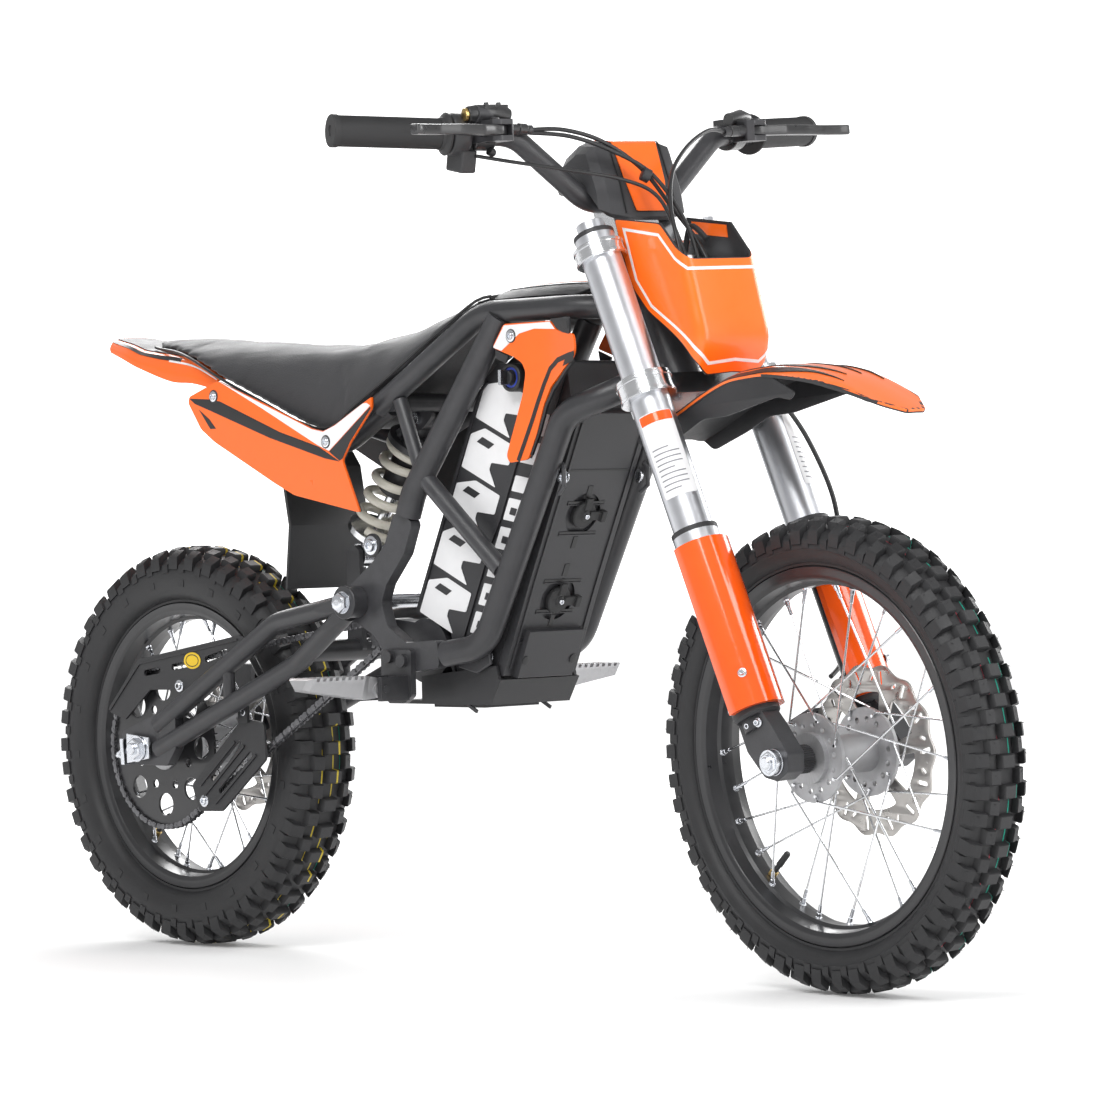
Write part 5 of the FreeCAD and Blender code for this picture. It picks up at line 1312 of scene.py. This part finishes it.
def grips():
    run = (BAR_END - BAR_BEND).length
    for tag, side, body, node in (("right", -1, "throttle", "throttle_grip"), ("left", 1, "steering", "left_grip")):
        a, b = on_bar(72, side), on_bar(run + 4, side)
        axis = (b - a).normalized()
        u, w = axes_across(axis)
        loops = []
        length = (b - a).length
        rows = 78
        n = 64
        for i in range(rows):
            t = 7 + (length - 13) * i / (rows - 1)
            loop = []
            for k in range(n):
                ang = 2 * math.pi * k / n
                ridge = 0.42 * (1 if (k + i) % 2 else -1)
                loop.append(a + axis * t + (u * math.cos(ang) + w * math.sin(ang)) * (15.6 + ridge))
            loops.append(loop)
        Build().rings(loops).make(tag + "_grip_knurl", RUBBER, body, front=True, smooth=12, replaces=(node,),
                                  slot="rubber")
        ends = Build()
        ends.lathe(a, b, [(0, 11.4), (0, 21.5), (2.2, 22.2), (4.0, 21), (6, 17.2), (9, 16.4), (9, 11.4)], 48)
        ends.lathe(a + axis * (length - 7.5), b, [(0, 15.0), (0.6, 16.9), (6.4, 17), (7.4, 16.2), (7.5, 6), (6.0, 5.5)], 48)
        ends.make(tag + "_grip_flange", RUBBER, body, front=True, slot="rubber")


def perches():
    """Lever clamps, master cylinder, switch box and their screws."""
    parts = Build()
    for side in (-1, 1):
        clamp_a, clamp_b = on_bar(23, side), on_bar(45, side)
        parts.lathe(clamp_a, clamp_b, [(0, 15.2), (0.8, 16.4), (21, 16.4), (22, 15.4)], 36)
        parts.box((708, side * 172, 885), (34, 24, 20))
        parts.box((694, side * 160, 888), (22, 16, 22))
    parts.tube([(700, -196, 903), (703, -186, 904), (705, -160, 904), (706, -148, 901)], [8.4, 9.2, 9.2, 7.8], 20)
    parts.box((704, -166, 910), (15, 30, 5))
    parts.tube([(716, -166, 887), (718, -150, 887), (718.5, -132, 886)], [5.4, 5.2, 4.2], 16)
    parts.tube([(718.5, -146, 887), (718.8, -136, 886.5)], 6.0, 16)
    parts.tube([(722, 166, 886), (722, 148, 885), (722, 134, 884)], [5.4, 5.2, 4.2], 16)
    parts.tube([(722, 150, 885), (722, 140, 884.5)], 6.0, 16)
    parts.tube([(700, 186, 900), (704, 172, 901), (708, 152, 898)], [6, 8.4, 7], 20)
    parts.make("perch_bodies", BLACK_METAL, "steering", front=True, bevel=1.6, segments=3, slot="black_plastic")
    screws = Build()
    screws.lathe((700, -197, 903), (699, -201, 902.8), [(0, 6.6), (3, 6.6), (3.6, 5.6)], 24)
    screws.make("master_cylinder_cap", BRASS, "steering", front=True, slot="silver")
    small = Build()
    small.bolt((704, -158, 912), (0, 0, 1), 2.6, 3.2, washer=False)
    small.bolt((704, -174, 912), (0, 0, 1), 2.6, 3.2, washer=False)
    for side in (-1, 1):
        small.bolt((722, side * 178, 895), (0, 0, 1), 4.4, 3.4, washer=False)
        small.bolt((702, side * 160, 878), (0.3, 0, -1), 3.0, 4.0, washer=False)
    small.make("perch_screws", BLACK_METAL, "steering", front=True, slot="dark_steel")
    housing = Build()
    axis_a, axis_b = on_bar(50, -1), on_bar(71.2, -1)
    housing.lathe(axis_a, axis_b, [(0, 18), (1, 20), (6, 21.6), (18, 21.8), (20.6, 20.6), (21.0, 17)], 48)
    housing.box((679, -190, 858), (26, 20, 24), Matrix.Rotation(math.radians(12), 3, "Y"))
    housing.box((682, -186, 872), (16, 14, 18))
    housing.make("throttle_box", BLACK, "steering", front=True, bevel=2.2, segments=3, replaces=("throttle_housing",),
                 slot="black_plastic")
    tip = Build().lathe((700, -170, 866), (700, -162, 862), [(0, 4.6), (5, 4.6), (7, 3.4), (8, 2.2)], 16)
    tip.make("throttle_knob", BLACK, "steering", front=True, slot="black_plastic")


BLACK_METAL = finish("black_metal", (0.020, 0.020, 0.021), 0.30, coat=0.15, tint=0.15, grain=0.15, fine=1500,
                     wear=0.3, wear_colour=(0.10, 0.10, 0.11))


def levers():
    """Brake levers with a hooked blade and a flat dark strip along its middle, painted shade standing for the hollow
    there.
    """
    for tag, side, body in (("right", -1, "right_lever"), ("left", 1, "left_lever")):
        outline = [(712, 170), (716, 166), (728, 167), (733, 176), (735, 188), (741, 206), (741, 236), (738, 262), (741, 286), (744, 295),
                   (738, 300), (731, 294), (728, 270), (727, 240), (725, 212), (718, 196), (711, 186)]
        body_loops = [round_corners([(x, side * y) for x, y in outline], 3, 3)]
        flat_piece(tag + "_lever_blade", body_loops, 10.5, lambda u, v, w: Vector((u, v, 885 + w)), BLACK_METAL, body,
                   front=True, bevel=1.8, replaces=(tag + "_brake_lever",), slot="black_plastic")
        # Painted shade: a thin dark plate on top of the solid blade stands for the shade in its hollow.
        rib = [(731, 214), (736, 214), (735, 258), (731, 258)]
        flat_piece(tag + "_lever_groove", [round_corners([(x, side * y) for x, y in rib], 2, 3)], 1.0,
                   lambda u, v, w: Vector((u, v, 890.1 + w)), DARK_LINE, body, front=True, bevel=0.3, slot="black_plastic")
        pin = Build().lathe((722, side * 178, 879.5), (722, side * 178, 892), [(0, 8.6), (10.8, 8.6), (11.2, 7.6)], 28)
        pin.make(tag + "_lever_eye", BLACK_METAL, body, front=True, slot="black_plastic")


def cables():
    """Brake and throttle cables from the controls, crossing at a clip, down behind the number plate."""
    routes = {
        "right_brake_cable": [(718.5, -131, 886), (733, -98, 885), (747, -58, 872), (760, -18, 843), (776, 6, 803), (797, 24, 762), (824, 26, 712),
                              (836, 25, 670), (842, 24, 634)],
        "left_brake_cable": [(722, 133, 884), (738, 96, 884), (756, 50, 866), (772, 14, 838), (792, -8, 802), (814, -20, 765), (834, -26, 712),
                             (844, -26, 670), (848, -26, 634)],
        "throttle_cable": [(694, -182, 861), (716, -150, 853), (742, -100, 843), (762, -48, 832), (776, -14, 815), (792, -3, 778), (816, -1, 722),
                           (829, 0, 690), (834, 0, 652)],
        "spare_cable": [(718.5, -131, 883), (736, -92, 878), (752, -50, 862), (770, -12, 836), (790, 10, 790), (806, 16, 740), (824, 12, 690),
                        (834, 10, 650)],
    }
    for k, (name, route) in enumerate(routes.items()):
        line = smooth_path(route, 9)
        extra = {"replaces": ("control_cables",)} if k == 0 else {}
        Build().tube(line, 2.3 if k != 2 else 2.0, 10).make(name, HOSE, "steering", front=True, smooth=80, slot="rubber",
                                                           **extra)
    clip = Build().lathe((765, -22, 838), (778, 4, 822), [(0, 5), (1, 7.5), (9, 7.5), (10, 5)], 16)
    clip.make("cable_clip", BLACK, "steering", front=True, slot="black_plastic")


def brake_hose():
    route = [(850, 58, 624), (862, 70, 596), (876, 90, 556), (889, 108, 500), (894, 113, 450), (898, 114, 395), (901, 110, 345),
             (908, 92, 323), (917, 69, 312)]
    hose = Build().tube(smooth_path(route, 12), 2.6, 12).make("front_hose", HOSE, None, front=True, smooth=80,
                                                             replaces=("front_brake_hose",), slot="rubber")
    return hose


def pad():
    """Faceted bar pad: dark foam with an orange centre panel."""
    loops = []
    for y in (-58, -50, -34, -30, 30, 34, 50, 58):
        t = abs(y)
        drop = 0 if t <= 34 else (6 if t < 55 else 16)
        sink = 0 if t <= 34 else (4 if t < 55 else 12)
        profile = [(608 + drop, 0), (606 + drop, 12 - sink), (640, 17.5 - sink), (688 - drop * 0.4, 20 - sink), (704 - drop, -6),
                   (702 - drop, -30), (692 - drop, -54 + sink), (668, -62 + sink), (654, -40), (652, -10)]
        loops.append([fork(s, o, y) for s, o in profile])
    body = Build().rings(loops).make("bar_pad_foam", FOAM, "steering", front=True, bevel=3.0, segments=3, smooth=30,
                                     replaces=("bar_pad",), slot="foam")

    def face(u, v):
        pts = [(606, 12), (640, 17.5), (688, 20), (704, -6), (703, -20)]
        lengths = [0]
        for a, b in zip(pts, pts[1:]):
            lengths.append(lengths[-1] + math.hypot(b[0] - a[0], b[1] - a[1]))
        v = max(0.0, min(lengths[-1] - 0.01, v))
        for i in range(len(pts) - 1):
            if v <= lengths[i + 1]:
                break
        t = (v - lengths[i]) / (lengths[i + 1] - lengths[i])
        s = pts[i][0] + (pts[i + 1][0] - pts[i][0]) * t
        o = pts[i][1] + (pts[i + 1][1] - pts[i][1]) * t
        return fork(s, o, u)

    decal("bar_pad_panel", [(-20, 6), (20, 6), (27, 40), (30, 84), (24, 116), (-24, 116), (-30, 84), (-27, 40)], face,
          ORANGE, "steering", front=True, lift=1.3, r=2, step=5, thick=1.2)
    for side in (-1, 1):
        stripe(f"bar_pad_seam_{'r' if side < 0 else 'l'}", [(side * 34, 4), (side * 34, 100)], 1.6, face, DARK_LINE,
               "steering", front=True, lift=1.2, thick=1.0, step=4)


FOAM = finish("pad_foam", (0.030, 0.030, 0.033), 0.62, tint=0.15, grain=0.5, fine=800, bevel=0)

battery_graphics()
cover_details()
lock_details()
fork_details()
grips()
perches()
levers()
cables()
HOSE_PIECE = brake_hose()
pad()

# ---------------------------------------------------------------- chain, spring and running gear bolts

CHAIN_PITCH = 8.0
CHAIN_Y = -58.0
REAR_TEETH, MOTOR_TEETH = 72, 12
MOTOR_SHAFT = Vector((372, CHAIN_Y, 360))
REAR_SHAFT = Vector((0, CHAIN_Y, REAR_R))
SPRING_TOP, SPRING_LOW = Vector((397, 0, 596)), Vector((290, 0, 447))


def chain_line():
    """Pitch line of the chain as (point, direction) samples, evenly spaced."""
    r_rear = CHAIN_PITCH / (2 * math.sin(math.pi / REAR_TEETH))
    r_motor = CHAIN_PITCH / (2 * math.sin(math.pi / MOTOR_TEETH))
    gap = MOTOR_SHAFT - REAR_SHAFT
    line = math.atan2(gap.z, gap.x)
    lean = math.acos((r_rear - r_motor) / gap.length)
    up, down = line + lean, line - lean

    def at(centre, r, a):
        return centre + Vector((r * math.cos(a), 0, r * math.sin(a)))

    dense = [at(REAR_SHAFT, r_rear, up), at(MOTOR_SHAFT, r_motor, up)]
    dense += [at(MOTOR_SHAFT, r_motor, up + (down - up) * k / 24) for k in range(1, 25)]
    dense += [at(REAR_SHAFT, r_rear, down)]
    dense += [at(REAR_SHAFT, r_rear, down + (up - down - 2 * math.pi) * k / 160) for k in range(1, 160)]
    dense.append(dense[0])
    lengths = [0.0]
    for a, b in zip(dense, dense[1:]):
        lengths.append(lengths[-1] + (b - a).length)
    count = int(lengths[-1] / CHAIN_PITCH / 2 + 0.5) * 2
    spots = []
    k = 0
    for i in range(count):
        want = lengths[-1] * i / count
        while lengths[k + 1] < want:
            k += 1
        spots.append(dense[k].lerp(dense[k + 1], (want - lengths[k]) / (lengths[k + 1] - lengths[k])))
    return spots


def chain():
    """Roller chain with inner and outer plates of a figure-eight shape."""
    spots = chain_line()
    links = Build()
    for i, p in enumerate(spots):
        q = spots[(i + 1) % len(spots)]
        along = (q - p).normalized()
        across = along.cross(Vector((0, 1, 0)))
        centre = (p + q) / 2
        outline = []
        for way in (1, -1):
            for step in range(-3, 4):
                a = math.radians(30 * step)
                outline.append(centre + along * way * (4 + 3.3 * math.cos(a)) + across * way * 3.3 * math.sin(a))
            outline.append(centre + across * way * 2.3)
        offset = 2.1 if i % 2 else 3.7
        for side in (-1, 1):
            links.prism([v + Vector((0, side * offset, 0)) for v in outline], (0, side * 1.3, 0))
        links.rod(p - Vector((0, 5.6, 0)), p + Vector((0, 5.6, 0)), 1.5, n=8)
    looped = links.make("chain_links", CHAIN, None, replaces=("drive_chain",), slot="dark_steel")
    place((345, CHAIN_Y, 352))
    place((225, CHAIN_Y, 312))
    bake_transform(looped)


def spring():
    """Coil spring with ground ends."""
    axis = (SPRING_LOW - SPRING_TOP).normalized()
    u, w = axes_across(axis)
    wire, coil, turns = 5.0, 27.3, 5.2
    start, height = 37.4 + wire, 111.2 - 2 * wire
    line = []
    samples = 260
    for i in range(samples + 1):
        a = 2 * math.pi * turns * i / samples
        rise = min(1.0, max(0.0, (i / samples - 0.08) / 0.84))
        line.append(SPRING_TOP + axis * (start + height * rise) + (u * math.cos(a) + w * math.sin(a)) * coil)
    coil_piece = Build().tube(line, wire, 14).make("spring_coil", CREAM, None, smooth=80,
                                                  replaces=("shock_spring",), slot="spring_white")
    place(SPRING_TOP + axis * 42)
    place(SPRING_TOP + axis * 144)
    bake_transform(coil_piece)
    collars = Build()
    for t in (29, 33):
        collars.lathe(SPRING_TOP + axis * t, SPRING_TOP + axis * (t + 3.2), [(0, 24), (0.5, 26.4), (2.7, 26.4), (3.2, 24)], 40)
    collars.make("spring_collars", POLISHED, "shock_upper", slot="silver")
    grub = Build().lathe(SPRING_TOP + axis * 34, SPRING_TOP + axis * 58, [(0, 15.5), (1, 17.2), (22, 17.2), (24, 15.4)], 32)
    grub.make("shock_red_sleeve", RED, "shock_upper", slot="orange_plastic")


def guard_surf(u, v):
    return Vector((u, -71.1, v))


def guards():
    """Sticker, grooves and bolts on the chain guards."""
    disc_line = [(68 + 15 * math.cos(a) * 1.0, 331 + 9.5 * math.sin(a)) for a in [2 * math.pi * k / 26 for k in range(26)]]
    decal("guard_sticker", disc_line, guard_surf, YELLOW, "swing", lift=0.35, r=0.1, step=30, thick=0.2)
    ring = [(68 + 11 * math.cos(a), 331 + 6.6 * math.sin(a)) for a in [2 * math.pi * k / 26 for k in range(26)]]
    stripe("guard_sticker_ring", ring, 1.0, guard_surf, DARK_LINE, "swing", lift=0.6, closed=True, thick=0.15)
    edge = [(-84, 273), (-28, 327), (148, 355)]
    stripe("guard_ridge", edge, 2.4, guard_surf, BLACK, "swing", lift=0.6, thick=1.4)
    for k, (a, b) in enumerate((((84, 178), (156, 236)), ((78, 190), (140, 240)), ((104, 170), (176, 226)))):
        stripe(f"guard_low_rib_{k}", [a, b], 3.2, guard_surf, BLACK, "swing", lift=0.7, thick=1.6)
    bolts = Build()
    for x, z in ((152, 335), (44, 302), (158, 274), (84, 172)):
        bolts.bolt((x, -71, z), (0, -1, 0), 4.6, 4.0)
    bolts.make("guard_bolts", ZINC, "swing", slot="silver")


def rear_end():
    """Axle nuts, chain adjusters and end plates of the swingarm."""
    for tag, side in SIDES:
        nut = Build()
        nut.lathe((0, side * 100, REAR_R), (0, side * 101.5, REAR_R), [(0, 15.2), (1.5, 15.2)], 32)
        nut.hexagon((0, side * 100, REAR_R), (0, side * 107, REAR_R), 12.2)
        nut.lathe((0, side * 106, REAR_R), (0, side * 111, REAR_R), [(0, 6.8), (4, 6.8), (5, 5.8)], 20)
        nut.make(tag + "_rear_nut", ZINC, "swing", slot="silver")
        adjuster = Build()
        adjuster.prism([(-20, side * 96, 214), (20, side * 96, 220), (20, side * 96, 244), (-20, side * 96, 248)],
                       (0, side * 3.4, 0))
        adjuster.rod((-20, side * 92, 228), (-46, side * 92, 222), 3.0, n=14)
        adjuster.hexagon((-36, side * 92, 224.4), (-42, side * 92, 223), 5.4)
        adjuster.prism([(-30, side * 84, 212), (-24, side * 84, 212), (-26, side * 84, 242), (-32, side * 84, 242)],
                       (0, side * 16, 0))
        adjuster.make(tag + "_chain_adjuster", ZINC, "swing", bevel=0.5, slot="silver")


def pivot_hardware():
    """Bolt heads, washers and caps round the swingarm pivot and the shock mounts."""
    pivot = Vector((371, 0, 397))
    for tag, side in SIDES:
        ring = Build().lathe(pivot + Vector((0, side * 103.4, 0)), pivot + Vector((0, side * 107.4, 0)),
                             [(0, 17), (0.4, 18.2), (3.2, 18.2), (4.0, 17.2), (4.0, 12.5)], 40)
        ring.make(tag + "_pivot_ring", FRAME, "chassis", slot="frame_black")
        nut = Build()
        nut.hexagon(pivot + Vector((0, side * 108, 0)), pivot + Vector((0, side * 116, 0)), 11)
        nut.lathe(pivot + Vector((0, side * 115, 0)), pivot + Vector((0, side * 117.5, 0)), [(0, 8.6), (1.6, 8.4), (2.5, 7), (2.5, 3)], 28)
        nut.make(tag + "_pivot_nut", ZINC, "chassis", slot="silver")
        bolts = Build()
        washers = Build()
        for x, z, y, r, wide in ((366, 458, 58, 7.0, 13), (404, 458, 58, 6.2, 11), (428, 338, 78, 6.2, 10),
                                 (450, 334, 78, 6.2, 10)):
            at = Vector((x, side * y, z))
            washers.lathe(at - Vector((0, side * 2, 0)), at + Vector((0, side * 2.6, 0)), [(0, wide - 1), (0.5, wide), (3.8, wide), (4.6, wide - 1.6)],
                          30)
            bolts.bolt(at + Vector((0, side * 2.4, 0)), (0, side, 0), r, 5.5)
        washers.make(tag + "_pivot_washers", FRAME, "chassis", slot="frame_black")
        bolts.make(tag + "_pivot_small_bolts", ZINC, "chassis", slot="silver")


chain()
spring()
guards()
rear_end()
pivot_hardware()
place(fork(330, 60, 100), True)
place(fork(150, 60, 100), True)
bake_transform(HOSE_PIECE)

#==MORE==#

# ---------------------------------------------------------------- stage, light and camera

def bright_surface(name, glow):
    """Pale studio surface with a little light of its own, and a painted light that grows with distance from the middle
    to brighten the far floor that the lamps leave in shade.
    """
    mat, tree, shader = nodes_of(name)
    cloud = add(tree, "ShaderNodeTexNoise", Scale=3.0)
    tone = add(tree, "ShaderNodeMapRange", To_Min=0.88, To_Max=0.91)
    tree.links.new(cloud.outputs["Fac"], tone.inputs["Value"])
    tree.links.new(tone.outputs["Result"], shader.inputs["Base Color"])
    shader.inputs["Roughness"].default_value = 0.8
    shader.inputs["Specular IOR Level"].default_value = 0.1
    shader.inputs["Emission Color"].default_value = (1, 1, 1, 1)
    # Painted light: emission rises from glow near the bike to glow + 0.6 beyond 2.6 m, lifting the shaded far floor.
    painted_glow_distance = add(tree, "ShaderNodeVectorMath", operation="LENGTH")
    tree.links.new(add(tree, "ShaderNodeNewGeometry").outputs["Position"], painted_glow_distance.inputs[0])
    rise = add(tree, "ShaderNodeMapRange", From_Min=0.9, From_Max=2.6, To_Min=glow, To_Max=glow + 0.6)
    tree.links.new(painted_glow_distance.outputs["Value"], rise.inputs["Value"])
    tree.links.new(rise.outputs["Result"], shader.inputs["Emission Strength"])
    return mat


def stage_sheet(name, corners, glow, faces=((0, 1, 2, 3),)):
    mesh = bpy.data.meshes.new(name)
    mesh.from_pydata(corners, [], faces)
    obj = bpy.data.objects.new(name, mesh)
    bpy.context.scene.collection.objects.link(obj)
    mesh.materials.append(bright_surface(name + "_pale", glow))
    return obj


def stage_room():
    """Floor under the wheels and a wall far behind, as the camera sees it."""
    size = 40.0
    z = CAD_BOX[0][2]
    # Floor glow is 0.10 by the wheels and rises with distance, as painted light on the far floor.
    stage_sheet("floor", [(-size, -size, z), (size, -size, z), (size, size, z), (-size, size, z)], 0.10)
    ring, faces = [], []
    count, reach, top = 64, 14.0, 16.0
    for k in range(count):
        a = 2 * math.pi * k / count
        ring += [(reach * math.cos(a), reach * math.sin(a), z), (reach * math.cos(a), reach * math.sin(a), top)]
        m = (k + 1) % count
        faces.append((2 * k, 2 * k + 1, 2 * m + 1, 2 * m))
    wall = stage_sheet("back_wall", ring, 0.40, faces)
    wall.visible_diffuse = False
    wall.visible_glossy = False


def area_light(name, at, aim, size, power):
    data = bpy.data.lights.new(name, "AREA")
    data.shape = "RECTANGLE"
    data.size, data.size_y = size
    data.energy = power
    obj = bpy.data.objects.new(name, data)
    obj.location = at
    obj.rotation_euler = (Vector(aim) - Vector(at)).to_track_quat("-Z", "Y").to_euler()
    bpy.context.scene.collection.objects.link(obj)


def camera():
    data = bpy.data.cameras.new("photo_view")
    data.sensor_width = 36.0
    data.lens = 36.0 * 4560.0 / 1112.0
    data.clip_end = 100.0
    yaw, pitch, roll = math.radians(46.05), math.radians(0.44), math.radians(-1.33)
    ahead = Vector((-math.sin(yaw) * math.cos(pitch), math.cos(yaw) * math.cos(pitch), -math.sin(pitch)))
    right = ahead.cross(Vector((0, 0, 1))).normalized()
    up = right.cross(ahead)
    turned_right = math.cos(roll) * right + math.sin(roll) * up
    turned_up = -math.sin(roll) * right + math.cos(roll) * up
    at = place((4086, -3367, 480))
    obj = bpy.data.objects.new("photo_view", data)
    basis = Matrix((turned_right, turned_up, -ahead)).transposed().to_4x4()
    obj.matrix_world = Matrix.Translation(at) @ basis
    bpy.context.scene.collection.objects.link(obj)
    bpy.context.scene.camera = obj


def world_light():
    world = bpy.data.worlds.new("studio")
    bpy.context.scene.world = world
    world.use_nodes = True
    back = world.node_tree.nodes["Background"]
    back.inputs["Color"].default_value = (1.0, 1.0, 1.0, 1)
    back.inputs["Strength"].default_value = 0.50


stage_room()
area_light("key", (1.2, -2.6, 3.0), (0, 0, 0.4), (2.6, 1.6), 95)
area_light("fill", (3.4, 0.6, 1.6), (0.1, 0, 0.5), (1.2, 2.6), 50)
area_light("rim", (-2.8, 1.8, 2.4), (0, 0, 0.5), (2.2, 1.4), 70)
area_light("left_strip", (0.4, 3.0, 1.4), (0, 0, 0.5), (2.4, 0.8), 40)
world_light()
camera()
bpy.context.scene.view_settings.view_transform = "Standard"
